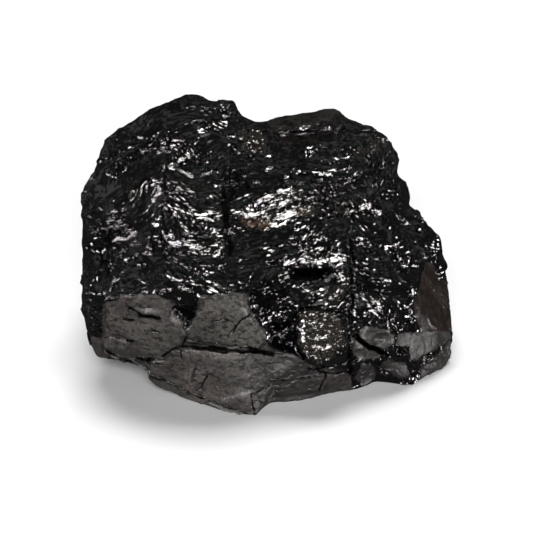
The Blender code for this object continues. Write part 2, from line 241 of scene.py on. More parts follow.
# The dull joint faces: outline, lightness, brownness, and how far each stands out or back.
FACES = (
    # the ground of the whole band, which shows in the gaps between its faces
    (((-24.2, -7.0), (-22.0, -6.0), (-16.0, -5.8), (-13.6, -6.3), (-12.9, -7.0), (-9.8, -6.6),
      (-9.7, -5.6), (-5.6, -5.1), (-2.9, -4.9), (-2.4, -7.3),
      (-1.4, -9.1), (-0.3, -10.6), (0.2, -13.2), (4.6, -14.4), (6.5, -16.0), (12.5, -16.9),
      (13.2, -19.8), (6.6, -22.4), (-2.0, -25.0), (-18.6, -20.0), (-18.4, -16.9),
      (-20.4, -15.7), (-23.8, -14.9), (-26.4, -15.4), (-26.5, -12.4), (-24.4, -11.8)), 0.20, 0.4, -0.15),
    # the band's left face, and the small one at its left corner
    (((-24.0, -6.8), (-21.4, -5.5), (-15.9, -5.4), (-14.2, -6.4), (-13.2, -8.3), (-12.4, -10.4),
      (-11.7, -11.6), (-12.4, -12.7), (-14.0, -13.6), (-16.2, -15.0), (-19.2, -14.8),
      (-23.9, -14.6), (-24.2, -11.8), (-23.5, -10.3)), 0.68, 0.45, 0.0),
    (((-26.3, -11.8), (-24.3, -11.9), (-24.3, -14.0), (-23.8, -15.4), (-26.4, -15.2)), 0.42, 0.6, -0.1),
    # the band's right face
    (((-9.7, -5.9), (-6.8, -5.3), (-4.6, -5.0), (-3.0, -5.0), (-2.8, -7.4), (-1.8, -9.3),
      (-0.8, -10.8), (-0.6, -12.5), (-1.3, -13.3), (-5.5, -12.7), (-8.5, -12.3), (-11.5, -11.6),
      (-11.7, -10.4), (-10.7, -9.3), (-9.5, -7.5)), 0.74, 0.2, 0.1),
    # the long face that runs down to the foot, and the strip and the side below it
    (((-17.7, -15.9), (-15.1, -15.0), (-12.2, -13.6), (-9.7, -13.5), (-6.1, -13.8), (-0.2, -14.2),
      (0.5, -14.9), (0.5, -18.8), (-2.5, -20.2), (-1.8, -23.4), (-7.0, -21.9), (-11.6, -19.8),
      (-17.8, -17.3)), 0.71, 0.6, 0.0),
    (((-18.4, -17.4), (-18.4, -19.4), (-11.1, -21.6), (-6.2, -23.6), (-2.5, -24.6), (-1.8, -23.6),
      (-7.0, -21.9), (-11.6, -19.8)), 0.70, 0.5, -0.1),
    (((-2.5, -20.2), (0.5, -18.8), (0.5, -21.8), (-1.8, -23.6)), 0.32, 0.8, 0.0),
    # the faces at the middle of the foot
    (((-2.4, -14.0), (0.1, -14.3), (4.1, -14.5), (6.3, -16.2), (5.1, -18.0), (0.5, -18.2),
      (-0.5, -20.6), (-2.5, -20.8)), 0.28, 0.7, 0.05),
    (((0.5, -18.2), (5.5, -17.8), (8.7, -17.0), (8.0, -19.5), (6.6, -21.6), (1.1, -22.0),
      (-0.3, -21.6)), 0.27, 0.8, -0.1),
    (((9.6, -17.3), (12.4, -17.1), (12.9, -19.2), (11.7, -20.2), (7.8, -20.9), (8.8, -17.7)),
     0.42, 0.8, 0.0),
    # the fan of small faces beside the lower joint
    (((13.7, -10.4), (14.9, -10.0), (17.6, -10.8), (19.2, -11.1), (19.2, -12.5), (17.6, -13.7),
      (15.2, -13.0), (13.7, -11.6)), 0.52, 0.0, 0.25),
    (((12.9, -11.8), (15.2, -13.4), (17.4, -14.5), (16.8, -15.1), (13.6, -15.1), (12.7, -13.8)),
     0.52, 0.05, 0.1),
    (((19.6, -11.1), (21.7, -11.1), (21.5, -13.3), (19.2, -13.1)), 0.42, 0.5, 0.0),
    # the light face at the right, the brown one above it and the rough corner below
    (((21.7, -11.1), (27.9, -11.0), (28.4, -12.2), (25.6, -13.8), (22.8, -15.0), (21.5, -15.2),
      (21.5, -13.3)), 0.45, 0.1, 0.1),
    (((23.0, -10.9), (22.4, -8.6), (22.2, -6.2), (23.5, -3.6), (23.9, -0.6), (25.2, -1.0), (26.4, -3.4),
      (29.0, -4.4), (29.0, -11.0)), 0.16, 1.0, 0.0),
    (((17.0, -16.2), (18.2, -15.2), (20.9, -15.7), (22.0, -17.6), (20.7, -18.3), (18.9, -17.2)),
     0.25, 0.2, 0.05),
    (((14.0, -16.0), (15.8, -15.9), (16.5, -17.3), (16.2, -18.3), (14.3, -19.2), (13.4, -18.0)),
     0.24, 0.5, 0.0),
    (((23.0, -16.6), (24.6, -15.6), (26.1, -14.4), (27.9, -12.5), (29.0, -13.0), (29.0, -16.0),
      (27.2, -17.6), (24.0, -18.7), (23.2, -17.6)), 0.36, 0.2, -0.05),
)
# Two more dull joint faces behind the rim, as outlines in x and z.
BEHIND = (
    ((4.0, 4.5), (13.0, 3.5), (16.0, 9.0), (14.0, 15.5), (7.0, 14.5)),
    ((-25.5, 5.0), (-20.0, 3.5), (-18.5, 9.0), (-20.5, 16.0), (-25.0, 15.0)),
)
# The slab at the top, and the brown slot under it with its depth.
SLAB = ((-0.9, 21.0), (1.8, 21.4), (8.0, 22.8), (10.2, 24.0), (11.5, 23.5), (12.4, 21.4), (12.0, 20.4),
        (8.8, 20.0), (1.8, 19.1))
SLOT = ((1.0, 19.2), (8.8, 19.9), (12.2, 20.4), (12.2, 19.2), (8.8, 18.2), (7.9, 17.4), (2.4, 17.6))
SLOT_DEPTH = 0.6

# Cracks in the dull faces: the line, its width and its depth.
CRACKS = (
    (((-11.9, -12.3), (-8.5, -12.5), (-4.7, -13.0), (-1.4, -13.4)), 0.22, 0.25),
    (((-12.6, -13.0), (-11.0, -13.0), (-8.5, -13.4), (-4.8, -13.7), (-0.9, -14.0), (0.4, -14.2)), 0.34, 0.22),
    (((-10.6, -13.15), (-8.4, -13.35), (-6.0, -13.6)), 0.62, 0.3),
    (((-2.6, -13.6), (-0.4, -13.9), (1.0, -14.3)), 0.56, 0.3),
    (((-2.5, -8.0), (-3.9, -9.5), (-4.8, -11.1)), 0.15, 0.14),
    (((-8.8, -17.5), (-9.6, -19.0), (-10.5, -19.7)), 0.18, 0.18),
    (((-12.6, -13.6), (-12.5, -15.2)), 0.16, 0.2),
    (((-21.3, -9.1), (-20.5, -9.2), (-19.7, -9.0)), 0.34, 0.3),
    (((-20.9, -12.2), (-20.1, -12.4), (-19.4, -12.4)), 0.30, 0.3),
    (((-19.2, -14.7), (-17.9, -15.0), (-16.6, -15.0)), 0.44, 0.3),
    (((-16.3, -15.8), (-15.2, -15.9)), 0.26, 0.2),
    (((-24.0, -13.9), (-22.2, -14.9), (-20.2, -15.5)), 0.30, 0.3),
    (((-20.2, -7.3), (-19.2, -7.7), (-18.1, -8.4)), 0.34, 0.12),
    (((-18.6, -8.3), (-17.2, -8.6), (-15.7, -8.8)), 0.52, 0.12),
    (((-8.2, -9.3), (-6.3, -9.0), (-4.6, -9.4)), 0.10, 0.1),
    (((-9.4, -10.6), (-7.9, -10.9), (-6.7, -10.6)), 0.10, 0.1),
    (((-4.3, -9.8), (-5.6, -11.6)), 0.14, 0.12),
    (((-16.6, -10.7), (-15.7, -10.9)), 0.26, 0.15),
    (((-11.3, -14.5), (-10.4, -16.2), (-11.0, -17.6)), 0.12, 0.1),
    (((-24.3, -11.7), (-21.8, -11.8)), 0.16, 0.12),
    (((-11.7, -11.6), (-12.4, -12.7), (-14.0, -13.6), (-15.4, -14.6)), 0.28, 0.2),
    (((-17.8, -17.3), (-11.6, -19.8), (-7.0, -21.9), (-2.2, -23.3)), 0.16, 0.15),
    (((-2.5, -20.2), (0.5, -18.7)), 0.14, 0.12),
    (((-2.5, -20.2), (-1.8, -23.4)), 0.18, 0.2),
    (((0.5, -18.2), (5.5, -17.8), (8.7, -17.0)), 0.20, 0.2),
    (((8.8, -17.3), (8.0, -19.8)), 0.20, 0.2),
    (((13.5, -11.6), (15.2, -13.2), (16.8, -13.7), (18.0, -14.5)), 0.46, 0.4),
    (((19.3, -11.0), (19.1, -13.2)), 0.18, 0.2),
    (((6.3, -16.3), (8.8, -17.1), (12.4, -17.0)), 0.34, 0.3),
)
# Chipped hollows in the dull faces, glassy inside: outline and depth.
CHIPS = (
    (((-14.2, -7.3), (-12.5, -6.7), (-10.2, -6.6), (-9.9, -7.5), (-10.5, -8.7), (-11.4, -10.1),
      (-11.9, -10.4), (-12.7, -9.0)), 0.8),
    (((18.0, -13.8), (19.4, -13.2), (21.3, -13.2), (21.3, -14.2), (19.4, -14.4)), 0.4),
    (((22.9, -14.9), (25.4, -13.8), (26.0, -14.4), (23.6, -15.9)), 0.4),
)

# The joints that part the glassy face into blocks: the line, its width and its depth.
JOINTS = (
    (((-5.8, 13.0), (-6.2, 10.2), (-6.1, 6.9), (-5.5, 2.0), (-5.6, 0.6)), 0.7, 0.8),
    (((12.3, 4.2), (12.6, 0.2), (12.5, -3.8), (12.8, -5.4)), 0.34, 0.6),
    (((12.8, -5.4), (12.4, -8.4), (12.7, -11.8), (12.3, -14.5), (12.6, -17.5)), 0.5, 0.7),
    (((-15.2, 13.0), (-15.0, 10.6), (-15.4, 6.0), (-15.2, 1.5)), 0.25, 0.25),
    (((2.0, -7.2), (4.6, -7.6), (7.4, -7.3), (9.6, -7.7), (11.6, -8.0)), 0.42, 0.5),
    (((4.4, -8.0), (4.2, -10.6), (4.6, -13.4), (5.6, -15.2)), 0.42, 0.5),
)

# Zones of the glassy face: outline, how crinkled it is, how much of it shines, its warmth, and how far
# its ledges lean: above 0 their long sides look down, and below 0 they look up.
ZONES = (
    # the panel left of the upper joint, and the strokes under it
    (((-17.4, 8.6), (-15.1, 8.2), (-12.4, 7.7), (-9.7, 7.2), (-6.6, 7.7), (-6.2, 1.2), (-5.8, -0.3),
      (-9.0, -1.5), (-13.0, -1.5), (-15.3, 0.9), (-15.6, 3.4)), 0.4, 0.18, 0.0, 0.2),
    (((-15.3, -0.6), (-9.8, -0.6), (-9.3, -2.5), (-11.7, -3.7), (-14.8, -3.2)), 0.6, 0.24, 0.0, 0.3),
    (((-14.6, 12.4), (-7.0, 12.0), (-6.6, 8.6), (-12.4, 8.6), (-14.8, 9.4)), 0.25, 0.06, 0.03, 0.8),
    # the bright band right of it, its tan end, and the dark recess between the two
    (((-5.5, 7.6), (-2.2, 8.4), (0.2, 9.6), (1.7, 10.0), (5.3, 10.2), (7.2, 7.8), (6.8, 6.4),
      (3.9, 6.2), (1.3, 4.2), (-1.1, 5.6), (-4.1, 5.9), (-5.4, 6.2)), 0.6, 0.64, 0.05, 0.0),
    (((4.0, 7.8), (7.2, 7.9), (7.0, 6.4), (4.4, 6.5)), 0.7, 0.60, 0.8, 0.0),
    (((-6.4, 13.6), (-3.4, 13.6), (-2.6, 10.4), (-3.6, 9.0), (-5.7, 8.0), (-6.4, 9.0)), 0.05, 0.0, 0.0, 0.6),
    # the smooth slope under the band, and the one left of it
    (((-5.2, 5.2), (1.0, 4.2), (5.4, 5.6), (9.0, 6.0), (6.0, 2.6), (1.0, 1.4), (-5.2, -0.6)),
     0.2, 0.04, 0.0, 1.0),
    (((-9.0, -1.8), (-5.0, -0.6), (-0.4, 0.6), (1.2, -1.6), (-1.2, -5.2), (-3.0, -4.2), (-9.0, -3.8)),
     0.2, 0.04, 0.0, 1.0),
    # the smooth dark flank beside the band's right face
    (((-1.0, -1.4), (1.2, -1.6), (3.4, -1.6), (4.2, -4.0), (1.6, -6.6), (-1.0, -5.4)), 0.1, 0.0, 0.0, 0.3),
    # the hollow, the bright lip over it and the bright spots round it
    (((3.5, -1.5), (9.9, -1.6), (10.3, -2.4), (9.5, -3.2), (3.9, -2.8)), 0.1, 0.0, 0.0, 0.3),
    (((2.4, 0.0), (7.1, 0.4), (11.5, 0.3), (11.8, -1.5), (10.5, -1.6), (9.4, -0.9), (5.9, -1.1),
      (3.0, -1.5)), 0.5, 0.80, 0.08, 0.0),
    (((10.4, -1.8), (11.8, -2.0), (12.2, -3.6), (11.2, -3.4)), 0.3, 0.90, 0.0, 0.0),
    (((8.2, -4.6), (11.2, -4.2), (11.5, -5.4), (10.4, -7.0), (8.7, -7.0), (7.9, -5.8)), 0.3, 0.12, 0.4, 0.0),
    (((-1.2, -5.4), (1.6, -6.4), (3.6, -5.6), (4.4, -8.6), (3.9, -9.2), (0.0, -9.6), (-1.0, -8.6)),
     0.12, 0.03, 0.0, 0.0),
    (((0.4, -7.2), (2.5, -6.9), (3.2, -8.6), (1.0, -8.9)), 0.4, 0.28, 0.0, 0.0),
    # the dark stone left of the knob and over it
    (((0.0, -9.4), (4.2, -8.8), (4.3, -13.4), (5.6, -15.0), (2.0, -14.2), (0.3, -12.6)), 0.0, 0.03, 0.0, 0.0),
    (((3.6, -4.6), (7.6, -4.2), (8.0, -7.4), (3.6, -7.2)), 0.1, 0.05, 0.0, 0.0),
    # the knob
    (((4.9, -7.9), (9.8, -7.9), (11.5, -10.1), (11.5, -12.9), (9.9, -14.6), (6.9, -15.2),
      (4.9, -13.3)), 0.7, 0.34, 0.5, 0.0),
    # the fan right of the lower joint, and the patches of the right shoulder
    (((12.9, -5.0), (16.6, -5.5), (19.2, -7.6), (22.4, -7.1), (22.7, -8.9), (21.3, -10.7),
      (17.7, -10.6), (15.4, -9.5), (14.1, -7.8)), 0.7, 0.60, 0.0, 0.0),
    (((13.0, -14.9), (17.5, -14.8), (21.4, -15.3), (24.0, -15.4), (22.8, -17.4), (22.6, -19.8),
      (13.0, -19.8)), 0.5, 0.12, 0.0, 0.0),
    (((17.6, 1.1), (18.2, 2.5), (20.6, 2.8), (22.3, -1.0), (21.4, -1.6), (18.4, -0.4)), 0.6, 0.60, 0.0, 0.0),
    (((12.9, 3.0), (17.4, 3.0), (17.4, -1.8), (13.0, -1.8)), 0.6, 0.20, 0.0, 0.3),
    (((24.5, 2.3), (25.9, 2.3), (26.9, -1.8), (26.5, -2.9), (24.7, -0.9)), 0.7, 0.40, 0.0, 0.0),
    (((13.4, 8.6), (15.9, 9.0), (17.8, 7.6), (17.5, 5.9), (14.7, 5.9), (13.5, 6.8)), 0.4, 0.95, 0.1, 0.0),
    (((6.8, 11.1), (11.1, 12.4), (14.2, 11.2), (13.6, 6.9), (10.0, 6.3), (6.8, 7.6)), 0.7, 0.40, 0.05, 0.0),
    (((14.5, 15.0), (18.6, 17.0), (19.6, 12.0), (21.0, 8.0), (16.8, 9.0)), 0.6, 0.24, 0.0, 0.0),
    (((-3.4, 17.0), (6.5, 17.5), (7.4, 12.0), (-2.4, 11.2)), 0.4, 0.14, 0.0, 0.0),
    # the quiet left block
    (((-24.6, 8.0), (-18.4, 8.0), (-16.4, 2.0), (-16.0, -3.6), (-25.0, -3.0)), 0.15, 0.05, 0.0, 0.0),
    (((3.5, 3.4), (8.5, 3.6), (10.5, 1.0), (4.0, 0.8)), 0.3, 0.06, 0.0, 0.4),
    (((-28.0, 11.0), (-25.6, 9.0), (-25.6, -10.0), (-28.0, -8.0)), 0.5, 0.24, 0.0, 0.0),
    (((13.6, 15.9), (15.8, 17.8), (18.3, 18.5), (18.6, 17.6), (16.0, 16.1), (13.9, 15.3)),
     0.7, 0.40, 0.4, 0.0),
    (((5.3, 15.3), (6.4, 17.0), (7.3, 16.6), (6.4, 15.2)), 0.4, 0.90, 0.0, 0.0),
    # bright spots under the peak and at its top
    (((-15.4, 14.6), (-12.4, 15.6), (-10.5, 16.4), (-11.2, 14.2), (-14.2, 13.2)), 0.6, 0.50, 0.0, 0.0),
    (((-10.7, 15.9), (-7.9, 16.3), (-7.4, 14.3), (-9.8, 12.9), (-10.8, 13.5)), 0.6, 0.42, 0.0, 0.0),
    (((-7.3, 23.3), (-5.6, 23.9), (-5.1, 22.1), (-6.8, 21.4)), 0.7, 0.60, 0.0, 0.0),
    (((-3.9, 20.0), (-0.7, 19.8), (0.5, 16.5), (-1.4, 15.7), (-3.7, 16.9)), 0.7, 0.30, 0.3, 0.0),
    # smooth dark faces at the upper left and under the peak
    (((-26.6, 14.0), (-24.4, 18.4), (-21.0, 19.4), (-18.4, 18.0), (-19.4, 14.4), (-23.5, 12.0)),
     0.4, 0.14, 0.0, 0.4),
    (((-13.6, 20.9), (-10.8, 21.2), (-10.4, 17.8), (-12.2, 17.2)), 0.05, 0.0, 0.0, 0.0),
    (((-22.8, 12.0), (-16.4, 13.4), (-16.0, 9.4), (-20.4, 7.8), (-23.0, 9.0)), 0.12, 0.02, 0.0, 0.3),
    (((-10.2, 13.2), (-6.8, 14.6), (-4.2, 18.4), (-5.8, 20.6), (-8.6, 19.0), (-9.8, 16.8)),
     0.2, 0.04, 0.0, 0.2),
)
# Stains of rust: outline and strength.
RUST = (
    (((-3.8, 6.2), (-1.1, 5.9), (0.9, 5.6), (1.3, 4.7), (-1.0, 4.6), (-2.9, 4.7)), 0.8),
)

# The ledges whose treads catch the light: each line's width, and its points.
STROKES = (
    # above and left of the panel
    (0.28, ((-20.0, 18.6), (-18.8, 18.2), (-17.5, 18.3), (-16.2, 18.5))),
    (0.70, ((-15.0, 13.8), (-13.5, 14.3), (-12.1, 15.2), (-11.2, 15.7))),
    (0.45, ((-14.8, 13.9), (-13.4, 13.2), (-11.9, 12.6), (-10.9, 12.2))),
    (0.80, ((-16.9, 8.8), (-15.9, 9.9), (-14.6, 11.2))),
    (0.26, ((-17.2, 9.6), (-16.4, 10.6), (-15.3, 11.8))),
    (0.33, ((-24.5, 12.8), (-23.6, 12.6), (-22.6, 12.1))),
    (0.33, ((-25.7, 8.4), (-25.3, 7.7), (-24.6, 7.2))),
    (0.52, ((-23.1, 2.5), (-21.7, 2.9), (-20.4, 3.2), (-19.4, 3.8))),
    (0.20, ((-13.7, 20.3), (-13.3, 19.1), (-12.5, 18.4))),
    (0.33, ((-6.8, 22.2), (-5.7, 23.4))),
    (0.26, ((-8.8, 19.5), (-8.2, 20.3), (-7.4, 19.9))),
    (0.26, ((-18.7, 20.9), (-18.3, 20.1), (-17.4, 20.7))),
    # the panel
    (0.40, ((-15.3, 8.2), (-14.0, 7.5), (-12.7, 7.2), (-11.5, 6.6), (-10.2, 6.6))),
    (1.02, ((-10.0, 6.2), (-8.9, 6.7), (-7.0, 7.2))),
    (0.75, ((-17.0, 5.5), (-16.0, 4.4), (-15.0, 3.3), (-13.9, 3.1))),
    (0.95, ((-8.8, 4.4), (-7.9, 3.9), (-7.1, 3.3))),
    (0.85, ((-14.1, 2.4), (-12.3, 2.1), (-10.3, 1.7), (-8.6, 1.2))),
    (0.26, ((-15.4, 10.6), (-14.3, 9.7))),
    (0.26, ((-13.9, 10.6), (-11.9, 9.8), (-10.6, 9.6))),
    (0.26, ((-10.6, 8.9), (-9.5, 8.5))),
    (0.54, ((-9.1, 5.8), (-7.9, 5.6))),
    (0.26, ((-11.9, 0.9), (-10.3, 0.7), (-8.7, 0.3))),
    (0.82, ((-7.6, 0.4), (-6.6, 1.2), (-6.2, 1.8))),
    (0.40, ((-15.1, -2.3), (-13.8, -2.9), (-12.2, -3.2))),
    (0.33, ((-12.1, -1.3), (-11.0, -1.6), (-9.9, -2.1))),
    (0.33, ((-9.6, -1.1), (-8.3, -1.0))),
    # the left block
    (0.33, ((-20.8, -0.6), (-19.7, 0.0), (-19.0, 0.7))),
    (0.26, ((-19.7, -1.4), (-18.5, -0.9), (-17.5, -0.4))),
    (0.33, ((-20.9, 3.3), (-19.4, 3.4))),
    (0.26, ((-18.3, 1.8), (-17.0, 1.4))),
    (0.26, ((-18.8, -3.6), (-17.8, -3.5))),
    (0.26, ((-12.4, -4.6), (-10.9, -4.1))),
    (0.20, ((-24.0, -6.6), (-21.4, -5.4))),
    # the bright band
    (0.80, ((1.9, 9.9), (3.5, 9.8), (5.3, 10.0))),
    (0.82, ((-5.2, 6.9), (-3.5, 6.8), (-2.2, 7.5), (-0.4, 8.8), (1.1, 9.4))),
    (0.82, ((-3.0, 6.4), (-0.8, 7.0), (1.1, 7.8), (3.3, 8.4))),
    (1.05, ((-0.2, 6.0), (2.0, 6.3), (4.1, 6.7))),
    (0.60, ((0.4, 5.0), (1.8, 5.1), (3.2, 5.6))),
    (0.26, ((4.2, 6.2), (5.3, 6.4))),
    # above it and to its right
    (0.52, ((5.7, 15.5), (6.3, 16.7), (6.9, 16.8))),
    (0.33, ((8.2, 14.5), (9.1, 14.7))),
    (0.20, ((9.8, 14.9), (11.8, 15.1), (13.0, 15.0))),
    (0.45, ((7.0, 13.0), (8.7, 12.8), (9.8, 12.7))),
    (0.26, ((7.7, 11.7), (9.1, 11.9), (10.9, 12.7))),
    (0.95, ((14.2, 7.6), (15.5, 7.6), (17.1, 6.8))),
    (0.45, ((11.6, 6.8), (13.2, 6.9))),
    (0.52, ((0.0, 13.4), (0.9, 13.7))),
    (0.33, ((2.0, 11.9), (3.8, 12.1))),
    (0.33, ((16.3, 18.4), (18.3, 18.0))),
    (0.26, ((15.5, 11.2), (16.7, 11.1))),
    (0.20, ((18.1, 10.2), (20.2, 10.2))),
    (0.20, ((-2.6, 14.6), (-1.8, 14.6))),
    # the lip and the slope above it
    (0.80, ((2.8, -0.8), (4.1, -0.4), (5.9, -0.4), (7.5, -0.3), (8.7, -0.1), (10.3, -0.1), (11.5, -0.2))),
    (0.45, ((10.3, -1.2), (11.3, -0.8))),
    (0.20, ((0.5, 0.8), (1.5, 1.1))),
    (0.20, ((1.3, 1.8), (2.7, 2.0), (4.3, 2.5))),
    (0.20, ((7.1, 2.8), (8.7, 3.0))),
    (0.20, ((9.3, 1.8), (10.3, 2.0))),
    (0.20, ((9.5, 0.9), (10.3, 1.2))),
    (0.52, ((10.6, -2.4), (11.5, -3.1))),
    (0.33, ((10.8, -4.6), (10.2, -5.6))),
    # the knob's left edge and its top
    (0.55, ((5.3, -9.2), (5.5, -10.8), (5.4, -12.2))),
    (0.26, ((5.6, -8.5), (7.2, -8.3), (9.2, -8.4), (10.6, -8.9))),
    (0.26, ((6.2, -9.6), (8.0, -9.3), (10.0, -9.8))),
    (0.26, ((6.4, -14.6), (7.8, -14.9), (9.4, -14.5))),
    (0.50, ((6.0, -11.5), (7.4, -11.9), (8.8, -11.8))),
    (0.50, ((6.8, -13.0), (8.2, -13.4), (9.6, -13.0))),
    # the right shoulder and the fan
    (0.33, ((13.1, 2.2), (14.6, 1.8), (15.4, 1.4))),
    (0.26, ((13.4, 3.1), (14.8, 2.6))),
    (0.90, ((18.0, 1.5), (19.2, 1.8), (20.6, 2.3))),
    (0.26, ((20.3, 0.8), (21.6, 1.0))),
    (0.45, ((19.2, -0.4), (20.8, -0.1))),
    (0.45, ((20.3, -1.1), (22.2, -1.1))),
    (0.80, ((13.1, -5.3), (14.7, -6.4))),
    (0.58, ((14.5, -5.6), (15.5, -7.6), (16.3, -8.2))),
    (0.58, ((15.5, -5.6), (16.5, -7.0), (17.2, -8.2))),
    (0.58, ((16.7, -6.6), (17.5, -8.6))),
    (0.58, ((13.3, -6.1), (14.3, -6.8))),
    (0.30, ((21.5, -4.4), (21.8, -5.9), (21.3, -7.1))),
    (0.33, ((24.7, 1.8), (26.0, 1.4))),
    (0.26, ((26.1, -2.5), (26.9, -2.0))),
)

# The hollow under the lip, and the recess between the panel and the band.
LIP_HOLLOW = ((3.2, -1.4), (6.0, -1.2), (9.6, -1.2), (10.4, -2.2), (9.5, -3.3), (3.9, -2.9))
RECESS = ((-6.5, 13.6), (-3.6, 13.4), (-2.7, 10.6), (-3.6, 9.2), (-5.6, 8.4), (-6.5, 9.0))
# Each one's outline, the v of the ledge over it, and how steeply it runs in below the ledge.
HOLLOWS = ((LIP_HOLLOW, -1.0, 0.8), (RECESS, 13.6, 0.28))

# Where the outline stands out a little further, or less: the place, its reach and by how much.
SWELLS = (
    (-10.0, 24.4, 1.3, 0.5), (19.2, 16.6, 1.2, 0.2), (-25.8, 14.0, 1.5, 0.3), (-27.2, 11.0, 1.5, 0.35),
    (23.5, 6.2, 1.5, 0.5), (27.4, -14.2, 1.8, 0.3), (-25.5, -14.6, 1.5, 0.25), (21.6, -18.9, 2.2, 0.45),
    (13.6, -19.4, 3.0, 0.45), (4.0, -21.4, 3.8, 0.5), (-4.0, -23.6, 3.2, 0.9), (-19.6, 21.2, 1.6, -0.45),
    (21.7, 7.9, 0.9, -0.3), (-27.9, -7.5, 1.6, -0.25), (-23.2, -16.2, 1.6, -0.4), (-20.2, -17.6, 2.2, -2.2),
)

# Places in deep shade: outline and how dark.
SHADES = (
    (LIP_HOLLOW, 0.85),
    (RECESS, 0.6),
    # beside the knob and over it
    (((0.2, -9.3), (3.9, -8.9), (4.3, -13.4), (4.8, -14.6), (2.0, -14.0), (0.4, -12.8)), 0.8),
    (((13.2, -2.2), (17.2, -2.4), (17.0, -4.8), (13.4, -4.6)), 0.5),
    (((4.2, -5.0), (7.2, -4.8), (7.6, -7.2), (4.4, -7.0)), 0.4),
    (((-2.0, -5.2), (-0.4, -2.6), (3.2, -2.4), (3.6, -5.6), (1.2, -6.4), (0.2, -9.2), (-0.8, -9.6),
      (-1.8, -7.4)), 0.62),
    (((-24.6, 7.6), (-18.4, 7.6), (-16.8, 2.0), (-16.4, -3.6), (-24.6, -3.0)), 0.25),
    (((-25.6, 7.5), (-22.4, 6.8), (-21.2, 3.6), (-24.4, 3.4)), 0.5),
    (((-22.0, 8.6), (-17.8, 12.6), (-16.8, 11.4), (-18.0, 9.0), (-20.6, 7.6)), 0.55),
    (((-12.5, -3.6), (-5.0, -3.0), (-4.6, -4.6), (-12.4, -5.0)), 0.35),
    (((-14.0, -7.3), (-12.5, -6.8), (-10.3, -6.7), (-10.5, -8.7), (-11.9, -10.2)), 0.7),
    (((7.4, -4.4), (11.0, -4.2), (11.6, -7.2), (7.8, -7.4)), 0.3),
    (((3.8, 3.6), (8.0, 4.4), (10.0, 1.2), (4.2, 0.9)), 0.35),
    # along the two tall joints
    (((-6.9, 10.6), (-5.9, 11.0), (-5.5, 8.0), (-5.3, 5.0), (-5.2, 0.9), (-5.9, 0.9), (-6.4, 4.0),
      (-6.9, 7.2)), 0.7),
    (((12.0, -4.2), (12.9, -4.2), (13.2, -8.6), (13.0, -12.0), (13.0, -17.2), (12.0, -17.2), (12.0, -12.0),
      (11.8, -8.4)), 0.55),
)

# How the glassy blocks' ribs run: where a block starts in u, and their rise to the right in degrees.
RIBS = ((-40.0, 30.0), (-15.2, -10.0), (-5.9, 17.0), (12.5, -24.0))
# The same for the stone over the bright band, which starts from a u and a v.
UPPER_RIBS = (-5.9, 11.0, 6.0)
# Below this w they run any way, with a rise or a fall of up to so many degrees.
BACK_RIBS_W, BACK_RIBS_RISE = -11.0, 40.0


def rib_angle(u, v, w, upright):
    """Which way the ribs run at each point, in radians."""
    angle = np.zeros(len(u))
    for start, rise in RIBS:
        angle = np.where(u > start, rise, angle)
    start_u, start_v, rise = UPPER_RIBS
    angle = np.where((u > start_u) & (v > start_v), rise, angle)
    _, home = cells(upright, 10.0, 71)
    any_rise = 2 * BACK_RIBS_RISE * hashed(home, 75) - BACK_RIBS_RISE
    return np.radians(np.where(w < BACK_RIBS_W, any_rise, angle) + 14.0 * smooth_noise(upright, 5.0, 77))


def grain_places(face_points, upright):
    """Each point along the ribs, across them and deep in the stone, in millimetres."""
    u, v, w = face_points.T
    angle = rib_angle(u, v, w, upright)
    along = u * np.cos(angle) + v * np.sin(angle)
    across = v * np.cos(angle) - u * np.sin(angle)
    return np.stack([along, across, w], axis=1)


def planar(points, size, slope, seed):
    """Flat facets about size across, each tipped its own way."""
    apart, home = cells(points, size, seed)
    tip = 2 * hashes(home, range(seed + 3, seed + 6)) - 1
    return slope * size * np.sum(apart * tip, axis=1)


def joint_faces(u, v, front):
    """Where the front's dull faces are, their tone and brownness, and how far they stand out."""
    dull, rise = np.zeros(len(u)), np.zeros(len(u))
    tone, brown = np.full(len(u), 0.45), np.full(len(u), 0.3)
    for outline, light, brownness, height in FACES:
        depth = inside(outline, u, v)
        share = eased(depth, -0.12, 0.10) * front
        dull = np.maximum(dull, share)
        tone = np.where(depth > 0, light, tone)
        brown = np.where(depth > 0, brownness, brown)
        rise = laid(rise, height, share)
    for outline, _ in CHIPS:
        dull *= 1 - eased(inside(outline, u, v), -0.15, 0.1) * front
    return dict(dull=dull, tone=tone, brown=brown, rise=rise)


def glassy_zones(u, v, front, upright):
    """How crinkled the breaks are, how much of them shines, their warmth and their ledges' lean."""
    crinkle = np.clip(0.10 + 0.5 * smooth_noise(upright, 4.0, 51), 0.05, 0.5)
    bright = np.clip(0.34 * smooth_noise(upright, 3.0, 52), 0.01, 0.18)
    warm = np.zeros(len(u))
    lean = np.clip(1.5 * smooth_noise(upright, 7.0, 53) + 0.2, -1.0, 1.0)
    values = (crinkle, bright, warm, lean)
    for outline, *own in ZONES:
        share = eased(inside(outline, u, v), -0.4, 0.4) * front
        values = [laid(value, here, share) for value, here in zip(values, own)]
    return dict(zip(("crinkle", "bright", "warm", "lean"), values))


